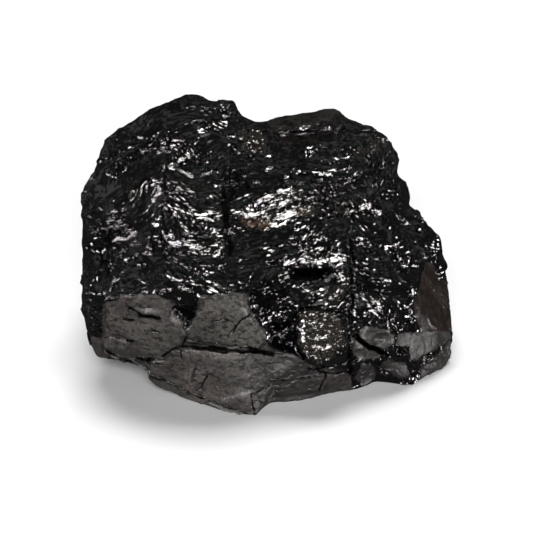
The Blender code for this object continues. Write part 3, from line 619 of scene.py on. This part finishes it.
def surface_kinds(face_points, upright):
    """The masks and measures that part the surface into its kinds, by name."""
    u, v, w = face_points.T
    x, y, z = upright.T
    front = w > FRONT_W
    away_u, away_v = (0.26 * noises(upright, 1.3, (41, 42)) + 0.16 * noises(upright, 0.5, (43, 44))).T
    kinds = glassy_zones(u + 2 * away_u, v + 2 * away_v, front, upright)
    u, v = u + away_u, v + away_v
    kinds |= joint_faces(u, v, front)
    for outline in BEHIND:
        share = eased(inside(outline, x + away_u, z + away_v), -0.12, 0.10) * (y > BEHIND_Y)
        kinds["dull"] = np.maximum(kinds["dull"], share)
    kinds["slab"] = eased(inside(SLAB, u, v), -0.1, 0.2) * (w > SLAB_W)
    kinds["slot"] = eased(inside(SLOT, u, v), -0.1, 0.3) * (w > SLAB_W)
    rust = [strength * eased(inside(outline, u, v), -0.3, 0.2) for outline, strength in RUST]
    kinds["rust"] = np.maximum.reduce(rust) * front
    return kinds


def stepped(phase, riser):
    """Steps along a phase: a slow rise and a short drop, from -0.5 to 0.5."""
    part = phase - np.floor(phase)
    return np.where(part < 1 - riser, part / (1 - riser), (1 - part) / riser) - 0.5


def glassy_relief(grain, upright, kinds):
    """The breaks' broad facets, ledges, shells, ribs and crinkles, in millimetres."""
    across = grain[:, 1]
    flow = grain * np.array([0.55, 1.0, 0.8]) + 1.2 * noises(upright, 5.0, (1, 2, 3))
    crinkle = kinds["crinkle"]
    apart, home = cells(flow, 4.2, 131)
    bowl = np.sum(apart**2, axis=1)
    ripples = np.sin(np.sqrt(bowl) * 4.2 * (2 * math.pi / 0.7)) * (hashed(home, 135) > 0.5)
    shells = 0.40 * (bowl - 0.25) + 0.014 * ripples
    broad = planar(flow, 3.6, 0.09, 101)
    path = across + 0.9 * smooth_noise(flow, 3.2, 104)
    ledges = 0.40 * kinds["lean"] * stepped(path / 2.3, 0.18)
    path = across + 0.5 * smooth_noise(flow, 2.0, 106)
    ledges += 0.20 * crinkle * stepped(path / 0.95, 0.3)
    crinkles = eased(crinkle, 0.3, 1.0) * (planar(flow, 1.0, 0.16, 111) + planar(flow, 0.5, 0.16, 121))
    ribs = 0.010 * np.sin(path * (2 * math.pi / 0.62)) * (1 - crinkle)
    return broad + ledges + shells + crinkles + ribs


def hollow_relief(u, v):
    """How deep the hollows under the ledges are: each grows deeper the further down it lies."""
    deep = np.zeros(len(u))
    for outline, top, slope in HOLLOWS:
        share = eased(inside(outline, u, v), -0.25, 0.15)
        deep = np.maximum(deep, share * slope * np.maximum(top - v, 0.0))
    return deep


class Ground:
    """The stone's front before its fine relief, as heights w over a grid in u and v."""

    # the grid's step and its reach to each side, in millimetres, and what stands where it is empty
    STEP = 0.3
    EDGE = 33.0
    EMPTY = -99.0

    def __init__(self, face_points):
        size = int(2 * self.EDGE / self.STEP)
        places = np.clip(((face_points[:, :2] + self.EDGE) / self.STEP).astype(int), 0, size - 1)
        self.w = np.full((size, size), self.EMPTY)
        np.maximum.at(self.w, (places[:, 0], places[:, 1]), face_points[:, 2])
        for _ in range(3):
            around = [np.roll(self.w, shift, axis) for axis in (0, 1) for shift in (-1, 1)]
            known = [near > self.EMPTY for near in around]
            total = sum(np.where(ok, near, 0.0) for near, ok in zip(around, known))
            mean = np.where(sum(known) > 0, total / np.maximum(sum(known), 1), self.w)
            self.w = np.where(self.w > self.EMPTY, 0.5 * self.w + 0.5 * mean, mean)
        self.slope = np.gradient(self.w, self.STEP)

    def at(self, u, v):
        """The height and the normal at each place."""
        size = len(self.w)
        i = np.clip(((u + self.EDGE) / self.STEP).astype(int), 0, size - 1)
        j = np.clip(((v + self.EDGE) / self.STEP).astype(int), 0, size - 1)
        normal = np.stack([-self.slope[0][i, j], -self.slope[1][i, j], np.ones(len(i))], axis=1)
        return self.w[i, j], normal / np.linalg.norm(normal, axis=1)[:, None]


def mirror_normals():
    """For each glint light the normal, in u, v and w, of a surface that mirrors it to the viewer."""
    normals = []
    for _, azimuth, elevation, *_ in GLINT_LIGHTS:
        away = np.array([direction(azimuth, elevation)]) + np.array(FACE_ORIGIN)
        half = to_face(away)[0] + np.array([0.0, 0.0, 1.0])
        normals.append(half / np.linalg.norm(half))
    return np.array(normals)


def shining_planes(face_points, normals, anchors, ground, jitter):
    """The offsets that turn the surface round each anchor into a plane that mirrors a light."""
    w, base = ground.at(anchors[:, 0], anchors[:, 1])
    choices = mirror_normals()
    target = choices[np.argmax(base @ choices.T, axis=1)] + jitter
    apart = face_points - np.column_stack([anchors[:, :2], w])
    away = -np.sum(target * apart, axis=1) / np.maximum(np.sum(target * normals, axis=1), 0.4)
    return np.clip(away, -PLANE_REACH, PLANE_REACH)


def cell_places(face_points, upright):
    """The small bright planes' cells: each point's place in its cell, and the cell."""
    grain = grain_places(face_points, upright) * np.array([PLANE_STRETCH, 1.0, 0.5])
    return cells(grain + 0.4 * noises(upright, 2.5, (5, 6, 7)), PLANE_SIZE, 141)


def cell_share(home, kinds):
    """Which of the cells shine."""
    return (hashed(home, 148) < kinds["bright"]) * 1.0


def shining_cells(face_points, upright, normals, kinds, ground):
    """Where the stone shines: the offsets of its small bright planes, and their share."""
    u, v, w = face_points.T
    apart, home = cell_places(face_points, upright)
    angle = rib_angle(u, v, w, upright)
    along, across = PLANE_SIZE * apart[:, 0] / PLANE_STRETCH, PLANE_SIZE * apart[:, 1]
    anchors = np.column_stack([u - along * np.cos(angle) + across * np.sin(angle),
                               v - along * np.sin(angle) - across * np.cos(angle)])
    jitter = 0.10 * (hashes(home, (145, 146, 147)) - 0.5)
    return shining_planes(face_points, normals, anchors, ground, jitter), cell_share(home, kinds)


def line_anchors(line, spacing):
    """Points along a line, about a spacing apart."""
    points = []
    for (u0, v0), (u1, v1) in zip(line, line[1:]):
        count = max(1, round(math.hypot(u1 - u0, v1 - v0) / spacing))
        for step in range(count):
            part = (step + 0.5) / count
            points.append((u0 + part * (u1 - u0), v0 + part * (v1 - v0)))
    return np.array(points)


def stroke_share(u, v, upright):
    """Each stroke's line, and its share at each point."""
    wavy_u = u + 0.30 * smooth_noise(upright, 1.1, 181)
    wavy_v = v + 0.30 * smooth_noise(upright, 1.1, 182)
    for width, line in STROKES:
        yield line, 1 - eased(line_gap(line, wavy_u, wavy_v), 0.42 * width, 0.62 * width)


def shining_strokes(face_points, upright, normals, ground):
    """The bright ledges: the offsets of their treads, and their share."""
    u, v, _ = face_points.T
    height, shown = np.zeros(len(u)), np.zeros(len(u))
    for line, share in stroke_share(u, v, upright):
        near = np.flatnonzero(share > 0)
        if len(near) == 0:
            continue
        points = line_anchors(line, 2.0)
        gaps = (u[near, None] - points[:, 0])**2 + (v[near, None] - points[:, 1])**2
        own = np.argmin(gaps, axis=1)
        spots = np.column_stack([np.round(points[own] * 100), own])
        jitter = 0.03 * (hashes(spots, (185, 186, 187)) - 0.5)
        plane = shining_planes(face_points[near], normals[near], points[own], ground, jitter)
        height[near] = laid(height[near], plane, share[near])
        shown[near] = np.maximum(shown[near], share[near])
    return height, shown


def crack_places(u, v, upright):
    """The places moved to and fro a little, so that what is cut there gets an uneven edge."""
    return u + 0.22 * smooth_noise(upright, 0.9, 171), v + 0.22 * smooth_noise(upright, 0.9, 172)


def crack_share(u, v, upright, lines, margin):
    """How much each point lies in a crack, and how deep it is there."""
    wavy_u, wavy_v = crack_places(u, v, upright)
    wavy_u += 0.25 * smooth_noise(upright, 2.2, 173)
    share, deep = np.zeros(len(u)), np.zeros(len(u))
    for line, width, depth in lines:
        here = 1 - eased(line_gap(line, wavy_u, wavy_v), 0.25 * width, margin * width)
        share, deep = np.maximum(share, here), np.maximum(deep, depth * here)
    return share, deep


def break_relief(face_points, upright, normals, kinds):
    """How far the glassy breaks stand out: their relief, with the bright planes and strokes in it."""
    u, v, w = face_points.T
    front = w > FRONT_W
    within = eased(inside(RIM, u, v), 0.2, 2.2)
    height = glassy_relief(grain_places(face_points, upright), upright, kinds) * (0.7 + 0.3 * within)
    ground = Ground(face_points[front])
    whole = 1 - np.maximum(*(crack_share(u, v, upright, lines, 1.2)[0] for lines in (CRACKS, JOINTS)))
    plane, share = shining_cells(face_points, upright, normals, kinds, ground)
    height = laid(height, plane, share * front * within * whole)
    plane, share = shining_strokes(face_points, upright, normals, ground)
    height = laid(height, plane, share * front * whole)
    return height - hollow_relief(u, v) * front


def slab_relief(u, v, upright):
    """The slab's thin beds."""
    beds = (v - 0.10 * u) / 0.62 + 0.25 * smooth_noise(upright, 2.5, 151)
    return 0.06 * (beds - np.floor(beds) - 0.5)


def dull_relief(upright, kinds):
    """The joint faces' grain and flakes, their ragged dark patches, and how far each stands out."""
    flow = upright * np.array([0.6, 1.0, 1.0])
    texture = 0.030 * smooth_noise(upright, 0.5, 161) + 0.05 * smooth_noise(upright, 1.6, 162)
    ragged = planar(flow, 0.8, 0.16, 164) + planar(flow, 1.7, 0.10, 165)
    texture += ragged * eased(0.5 - kinds["tone"], 0.05, 0.15) * (kinds["brown"] < 0.9)
    flakes = 0.06 * np.floor(2.2 * smooth_noise(flow, 2.6, 163))
    return texture + flakes + kinds["rise"]


def fine_relief(face_points, upright, normals, kinds):
    """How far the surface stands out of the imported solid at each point, in millimetres."""
    u, v, w = face_points.T
    front = w > FRONT_W
    calm = np.maximum.reduce([kinds["dull"], kinds["slab"], kinds["slot"]])
    height = break_relief(face_points, upright, normals, kinds) * (1 - calm)
    height = height + slab_relief(u, v, upright) * kinds["slab"] - SLOT_DEPTH * kinds["slot"]
    height += dull_relief(upright, kinds) * kinds["dull"]
    wavy_u, wavy_v = crack_places(u, v, upright)
    for outline, depth in CHIPS:
        height -= depth * eased(inside(outline, wavy_u, wavy_v), -0.1, 0.5) * front
    for lines in (CRACKS, JOINTS):
        height -= crack_share(u, v, upright, lines, 0.9)[1] * front
    # what touches the ground stays as it is
    height *= eased(upright[:, 2], 0.3, 1.0)
    turned = eased(0.85 - normals[:, 2], 0.0, 0.5) * eased(upright[:, 2], 0.0, 0.3)
    for centre_u, centre_v, reach, swell in SWELLS:
        height += swell * np.exp(-((u - centre_u)**2 + (v - centre_v)**2) / reach**2) * turned
    return height


# ---------------------------------------------------------------------------------------------------
# The stone's mesh


def placed(name, data):
    """A new object in the scene."""
    made = bpy.data.objects.new(name, data)
    bpy.context.scene.collection.objects.link(made)
    return made


def applied(obj):
    """Gives the object the mesh that its modifiers make, and removes them."""
    bpy.context.view_layer.update()
    evaluated = obj.evaluated_get(bpy.context.evaluated_depsgraph_get())
    made = bpy.data.meshes.new_from_object(evaluated)
    obj.modifiers.clear()
    old = obj.data
    obj.data = made
    bpy.data.meshes.remove(old)


def remeshed(stone, cell):
    """The same stone in even cells of a size in millimetres."""
    fine = stone.modifiers.new("fine", "REMESH")
    fine.mode = "VOXEL"
    fine.voxel_size = cell * MM
    applied(stone)


def copied(node):
    """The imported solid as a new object."""
    mesh = bmesh.new()
    mesh.from_mesh(node.data)
    bmesh.ops.remove_doubles(mesh, verts=mesh.verts, dist=1e-6)
    data = bpy.data.meshes.new("nugget_stone")
    mesh.to_mesh(data)
    mesh.free()
    return placed("nugget_stone", data)


def mesh_array(data, name):
    """The vertices' values of that name, a row of three for each."""
    values = np.empty(len(data.vertices) * 3)
    data.vertices.foreach_get(name, values)
    return values.reshape(-1, 3)


def neighbours_mean(values, ends, counts):
    """For each vertex the mean of its neighbours' values."""
    a, b = ends
    total = np.empty_like(values)
    for axis in range(3):
        total[:, axis] = np.bincount(a, values[b, axis], len(values))
        total[:, axis] += np.bincount(b, values[a, axis], len(values))
    return total / counts[:, None]


def mesh_edges(data):
    """The two ends of each edge, and how many edges each vertex has."""
    ends = np.empty(len(data.edges) * 2, int)
    data.edges.foreach_get("vertices", ends)
    ends = ends.reshape(-1, 2).T
    return ends, np.bincount(ends.ravel(), minlength=len(data.vertices))


def broad_normals(data, rounds=4):
    """The vertices' normals, evened out with their neighbours'."""
    normals = mesh_array(data, "normal")
    ends, counts = mesh_edges(data)
    for _ in range(rounds):
        normals = normals + neighbours_mean(normals, ends, counts)
        normals /= np.linalg.norm(normals, axis=1)[:, None]
    return normals


def soften(data, rounds):
    """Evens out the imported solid's small facets on the breaks, away from the rim."""
    points = mesh_array(data, "co") / MM
    face_points = to_face(points)
    kinds = surface_kinds(face_points, points)
    calm = np.maximum(kinds["dull"], kinds["slab"])
    share = eased(inside(RIM, *face_points.T[:2]), 0.5, 2.5) * (1 - calm) * eased(points[:, 2], 1.0, 2.5)
    share *= 1 - 0.6 * eased(kinds["crinkle"], 0.3, 0.8)
    ends, counts = mesh_edges(data)
    for _ in range(rounds):
        points += 0.6 * share[:, None] * (neighbours_mean(points, ends, counts) - points)
    data.vertices.foreach_set("co", (points * MM).ravel())
    data.update()


def carve(data):
    """Moves the vertices by the fine relief."""
    upright = mesh_array(data, "co") / MM
    face_points = to_face(upright)
    out = broad_normals(data)
    normals = to_face(out + np.array(FACE_ORIGIN))
    kinds = surface_kinds(face_points, upright)
    moved = upright + out * fine_relief(face_points, upright, normals, kinds)[:, None]
    moved[:, 2] = np.maximum(moved[:, 2], 0.0)
    data.vertices.foreach_set("co", (moved * MM).ravel())
    data.update()


def painted_shade_share(u, v, upright, slot):
    """Painted shade: how black each place is, in the cracks and less in the joints, slot and shades."""
    cracks, _ = crack_share(u, v, upright, CRACKS, 1.1)
    joints, _ = crack_share(u, v, upright, JOINTS, 1.0)
    shares = [cracks, 0.6 * joints, 0.5 * slot]
    shares += [deep * eased(inside(outline, u, v), -0.2, 0.4) for outline, deep in SHADES]
    return np.maximum.reduce(shares)


def shining(face_points, upright, kinds):
    """How much each place belongs to a small bright plane or to a stroke."""
    u, v, _ = face_points.T
    shares = [0.7 * cell_share(cell_places(face_points, upright)[1], kinds)]
    shares += [share for _, share in stroke_share(u, v, upright)]
    return np.maximum.reduce(shares)


# The kinds that the material reads from the mesh.
LAYERS = ("dull", "tone", "brown", "slab", "slot", "crinkle", "shine", "warm", "rust", "painted_shade")


def mark_kinds(data):
    """Stores the surface's kinds on the vertices, where the material reads them."""
    upright = mesh_array(data, "co") / MM
    face_points = to_face(upright)
    u, v, w = face_points.T
    front = w > FRONT_W
    kinds = surface_kinds(face_points, upright)
    # painted shade: black in the cracks, the joints, the slot and the shades
    kinds["painted_shade"] = painted_shade_share(u, v, upright, kinds["slot"]) * front
    kinds["shine"] = shining(face_points, upright, kinds) * front
    for name in LAYERS:
        layer = data.attributes.new(name, "FLOAT", "POINT")
        layer.data.foreach_set("value", kinds[name].astype(np.float32))
    layer = data.attributes.new("grain", "FLOAT_VECTOR", "POINT")
    layer.data.foreach_set("vector", grain_places(face_points, upright).astype(np.float32).ravel())


def crisp(data, angle):
    """Smooth shading, with a sharp edge wherever two faces meet at more than the angle."""
    mesh = bmesh.new()
    mesh.from_mesh(data)
    for face in mesh.faces:
        face.smooth = True
    for edge in mesh.edges:
        edge.smooth = edge.calc_face_angle(math.pi) < angle
    mesh.to_mesh(data)
    mesh.free()


def stone_piece(node):
    """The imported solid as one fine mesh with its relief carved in."""
    stone = copied(node)
    remeshed(stone, COARSE_CELL)
    soften(stone.data, rounds=30)
    remeshed(stone, CELL)
    carve(stone.data)
    thin = stone.modifiers.new("thin", "DECIMATE")
    thin.ratio = TRIANGLES / (2 * len(stone.data.polygons))
    applied(stone)
    mark_kinds(stone.data)
    crisp(stone.data, math.radians(CRISP_ANGLE))
    return stone


# ---------------------------------------------------------------------------------------------------
# The stone's material


class Nodes:
    """Short calls that add nodes to a material or a world and link them."""

    def __init__(self, owner):
        owner.use_nodes = True
        self.tree = owner.node_tree
        self.tree.nodes.clear()

    def feed(self, sockets, values):
        """Links each value that comes from a node, and sets the others."""
        for socket, value in zip(sockets, values):
            if isinstance(value, bpy.types.NodeSocket):
                self.tree.links.new(value, socket)
            else:
                socket.default_value = value

    def add(self, kind, settings=None, **inputs):
        """A new node with its settings and its inputs, whose names have _ for a space."""
        node = self.tree.nodes.new(kind)
        for key, value in (settings or {}).items():
            setattr(node, key, value)
        self.feed([node.inputs[key.replace("_", " ")] for key in inputs], inputs.values())
        return node

    def math(self, operation, *values):
        node = self.add("ShaderNodeMath", {"operation": operation})
        self.feed(node.inputs, values)
        return node.outputs[0]

    def vector(self, operation, *values):
        node = self.add("ShaderNodeVectorMath", {"operation": operation})
        self.feed(node.inputs, values)
        return node.outputs[0]

    def scaled(self, place, factors):
        """A place, or another vector, drawn out or in."""
        return self.vector("MULTIPLY", place, factors)

    def mix(self, factor, a, b):
        """From one colour to the other."""
        node = self.add("ShaderNodeMix", {"data_type": "RGBA"})
        self.feed((node.inputs[0], node.inputs[6], node.inputs[7]), (factor, a, b))
        return node.outputs[2]

    def blend(self, factor, a, b):
        """From one number to the other."""
        node = self.add("ShaderNodeMix", {"data_type": "FLOAT"})
        self.feed((node.inputs[0], node.inputs[2], node.inputs[3]), (factor, a, b))
        return node.outputs[0]

    def layer(self, name, output="Fac"):
        """What the mesh says under that name."""
        return self.add("ShaderNodeAttribute", {"attribute_name": name}).outputs[output]

    def noise(self, place, scale, detail=3.0, roughness=0.6):
        node = self.add("ShaderNodeTexNoise", Scale=scale, Detail=detail, Roughness=roughness, Vector=place)
        return node.outputs["Fac"]

    def spread(self, value, low, high, to_low=0.0, to_high=1.0):
        """The range from low to high laid over another, and held to its ends."""
        node = self.add("ShaderNodeMapRange", {"clamp": True}, Value=value, From_Min=low, From_Max=high,
                        To_Min=to_low, To_Max=to_high)
        return node.outputs["Result"]


def dull_colour(n, place, tone, brown, browned):
    """The dull faces: mottled, with dark flecks drawn out sideways and hairline cracks."""
    flat = n.scaled(place, (0.55, 1.0, 1.0))
    mottle = n.spread(n.noise(place, 3400.0, 4.0, 0.85), 0.38, 0.62, 0.25, 1.75)
    patches = n.spread(n.noise(flat, 360.0, 3.0, 0.6), 0.40, 0.60, 0.68, 1.32)
    flecks = n.spread(n.noise(flat, 1900.0, 2.0, 0.6), 0.53, 0.62, 1.06, 0.2)
    hairs = n.math("ABSOLUTE", n.math("SUBTRACT", n.noise(flat, 420.0, 4.0, 0.7), 0.5))
    hairs = n.spread(hairs, 0.004, 0.014, 0.25, 1.0)
    hairs = n.blend(n.spread(n.noise(place, 210.0, 2.0), 0.50, 0.56), 1.0, hairs)
    tint = n.math("ADD", brown, n.spread(n.noise(place, 300.0, 3.0), 0.38, 0.62, -0.35, 0.35))
    grey = n.mix(n.spread(tint, 0.0, 1.0), (0.092, 0.088, 0.073, 1), (0.102, 0.078, 0.070, 1))
    grey = n.mix(browned, grey, (0.130, 0.076, 0.052, 1))
    light = n.math("MULTIPLY", n.math("MULTIPLY", tone, mottle), n.math("MULTIPLY", patches, flecks))
    light = n.math("MULTIPLY", light, hairs)
    return n.add("ShaderNodeVectorMath", {"operation": "SCALE"}, Vector=grey, Scale=light).outputs[0]


def glassy_colour(n, layers, rusty):
    """The breaks: black, warmer in places, with the slab's and the slot's layers, and rust."""
    black = n.mix(n.layer("warm"), (0.0022, 0.0021, 0.0022, 1), (0.050, 0.041, 0.031, 1))
    slot = n.mix(layers, (0.0030, 0.0018, 0.0016, 1), (0.0130, 0.0065, 0.0052, 1))
    slab = n.mix(layers, (0.0025, 0.0023, 0.0020, 1), (0.0110, 0.0095, 0.0077, 1))
    colour = n.mix(n.layer("slab"), n.mix(n.layer("slot"), black, slot), slab)
    return n.mix(rusty, colour, (0.085, 0.036, 0.014, 1))


def roughness(n, place, layers, rusty, dull, dull_rough):
    """How rough each kind of surface is."""
    rough = n.spread(n.noise(place, 420.0, 3.0), 0.35, 0.65, 0.05, 0.12)
    rough = n.blend(n.layer("slab"), rough, n.blend(layers, 0.18, 0.35))
    rough = n.blend(n.layer("slot"), rough, 0.25)
    return n.blend(dull, n.blend(rusty, rough, 0.5), dull_rough)


def facets(n, grain, dull):
    """The breaks' smallest facets: slivers along the ribs, each tipped its own way."""
    slivers = n.add("ShaderNodeTexVoronoi", {"feature": "F1"}, Scale=1.0,
                    Vector=n.scaled(grain, (1.2, 4.6, 3.0)))
    tipped = n.vector("SUBTRACT", slivers.outputs["Color"], (0.5, 0.5, 0.5))
    few = n.vector("MULTIPLY", n.vector("MULTIPLY", tipped, tipped), tipped)
    glass = n.math("SUBTRACT", 1.0, dull)
    crinkle, shine = n.layer("crinkle"), n.layer("shine")
    lean = n.blend(shine, n.blend(crinkle, 0.10, 0.18), 0.075)
    tipped = n.scaled(tipped, n.math("MULTIPLY", lean, glass))
    lean = n.blend(shine, n.blend(crinkle, 1.6, 5.0), 0.5)
    few = n.scaled(few, n.math("MULTIPLY", lean, glass))
    tipped = n.vector("ADD", tipped, few)
    facing = n.vector("ADD", n.add("ShaderNodeNewGeometry").outputs["Normal"], tipped)
    return n.vector("NORMALIZE", facing)


def shungite():
    """Glassy black on the breaks and dull grey-brown on the joint faces."""
    material = bpy.data.materials.new("shungite")
    n = Nodes(material)
    place = n.add("ShaderNodeTexCoord").outputs["Object"]
    grain = n.layer("grain", "Vector")
    dull, tone, brown, painted_shade = (n.layer(name) for name in ("dull", "tone", "brown", "painted_shade"))
    # the slab and the slot have thin layers, lighter and darker
    layers = n.spread(n.noise(n.scaled(place, (130.0, 130.0, 2400.0)), 1.0, 2.0, 0.5), 0.42, 0.60)
    rusty = n.math("MULTIPLY", n.layer("rust"), n.spread(n.noise(place, 1500.0, 3.0), 0.40, 0.60))
    # the brownest joint faces have a colour and a gloss of their own
    browned = n.spread(brown, 0.85, 1.0)

    colour = n.mix(dull, glassy_colour(n, layers, rusty), dull_colour(n, place, tone, brown, browned))
    # painted shade: the cracks, joints, slot and shades turn near black
    colour = n.mix(n.math("MULTIPLY", painted_shade, 0.9), colour, (0.0035, 0.003, 0.003, 1))
    dull_rough = n.blend(browned, n.spread(tone, 0.1, 0.5, 0.6, 0.45), 0.33)
    rough = roughness(n, place, layers, rusty, dull, dull_rough)

    lines = n.noise(n.scaled(grain, (0.4, 3.4, 2.0)), 1.0, 3.0, 0.6)
    bumps = n.blend(dull, lines, n.noise(place, 3200.0, 3.0, 0.6))
    bump = n.add("ShaderNodeBump", Distance=0.00010, Height=bumps,
                 Strength=n.blend(dull, 0.40, 0.30), Normal=facets(n, grain, dull))
    # the painted shade sends nothing back: a black metal has neither gloss nor colour
    shader = n.add("ShaderNodeBsdfPrincipled", Base_Color=colour, Roughness=rough, IOR=1.9,
                   Metallic=n.spread(painted_shade, 0.2, 0.9), Normal=bump.outputs[0])
    n.add("ShaderNodeOutputMaterial", Surface=shader.outputs[0])
    return material


def floor_material():
    """A plain pale floor."""
    material = bpy.data.materials.new("pale_floor")
    n = Nodes(material)
    place = n.add("ShaderNodeTexCoord").outputs["Object"]
    tint = n.spread(n.noise(place, 30.0), 0.3, 0.7, 0.90, 0.93)
    colour = n.add("ShaderNodeCombineColor", Red=tint, Green=tint, Blue=tint)
    shader = n.add("ShaderNodeBsdfPrincipled", Base_Color=colour.outputs[0], Roughness=0.8)
    n.add("ShaderNodeOutputMaterial", Surface=shader.outputs[0])
    return material


# ---------------------------------------------------------------------------------------------------
# The floor, the lights and the camera


def add_floor():
    """A round floor, which the stone doesn't mirror."""
    mesh = bmesh.new()
    bmesh.ops.create_circle(mesh, cap_ends=True, segments=96, radius=3.0)
    data = bpy.data.meshes.new("floor")
    mesh.to_mesh(data)
    mesh.free()
    floor = placed("floor", data)
    data.materials.append(floor_material())
    floor.visible_glossy = False


def aimed(obj, place, away):
    """Puts a light or the camera at a place, facing against the vector away."""
    obj.location = place
    obj.rotation_mode = "QUATERNION"
    obj.rotation_quaternion = away.to_track_quat("Z", "Y")


def add_light(name, azimuth, elevation, far, width, tall, radiance, glints, colour=(1.0, 1.0, 1.0)):
    """A soft light that is seen in the glints, or else one that only lights the dull surfaces."""
    data = bpy.data.lights.new(name, "AREA")
    data.shape = "RECTANGLE"
    data.size, data.size_y = width, tall
    data.energy = radiance * width * tall * math.pi
    data.color = colour
    light = placed(name, data)
    away = direction(azimuth, elevation)
    aimed(light, LIT_PLACE + away * far, away)
    light.visible_glossy = glints
    light.visible_diffuse = not glints


def add_lights():
    """The soft lights, the small ones and the cards."""
    for soft in SOFT_LIGHTS:
        add_light(*soft, glints=False)
    for name, azimuth, elevation, width, tall, radiance, colour in GLINT_LIGHTS:
        add_light(name, azimuth, elevation, GLINT_FAR, width, tall, radiance, True, colour)
    for name, azimuth, elevation, width, tall, radiance in CARDS:
        add_light(name, azimuth, elevation, CARD_FAR, width, tall, radiance, True)


def add_room():
    """A dim room round it all, a little lighter low down."""
    world = bpy.data.worlds.new("dim_room")
    n = Nodes(world)
    way = n.add("ShaderNodeTexCoord").outputs["Generated"]
    height = n.add("ShaderNodeSeparateXYZ", Vector=way).outputs["Z"]
    back = n.add("ShaderNodeBackground", Color=(1.0, 0.98, 0.96, 1.0),
                 Strength=n.spread(height, -0.2, 0.5, 0.04, 0.03))
    n.add("ShaderNodeOutputWorld", Surface=back.outputs[0])
    bpy.context.scene.world = world


# The camera's distance in metres, its lens, and how far below the face's origin it looks, in
# millimetres.
CAMERA_AWAY, CAMERA_LENS, CAMERA_DROP = 0.39975, 180.6, 1.20


def add_camera():
    """The camera, which looks at the broken face from straight in front and above."""
    data = bpy.data.cameras.new("camera")
    data.lens, data.sensor_width = CAMERA_LENS, 36.0
    camera = placed("camera", data)
    away = direction(0, math.degrees(FACE_RISE))
    aimed(camera, from_face(0.0, -CAMERA_DROP, 0.0) + away * CAMERA_AWAY, away)
    bpy.context.scene.camera = camera


def main():
    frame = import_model()
    stone = stone_piece(frame["nodes"]["nugget"])
    stone.data.materials.append(shungite())
    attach(stone, "root")
    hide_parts("nugget")
    add_floor()
    add_lights()
    add_room()
    add_camera()
    bpy.context.scene.view_settings.view_transform = "Standard"


main()
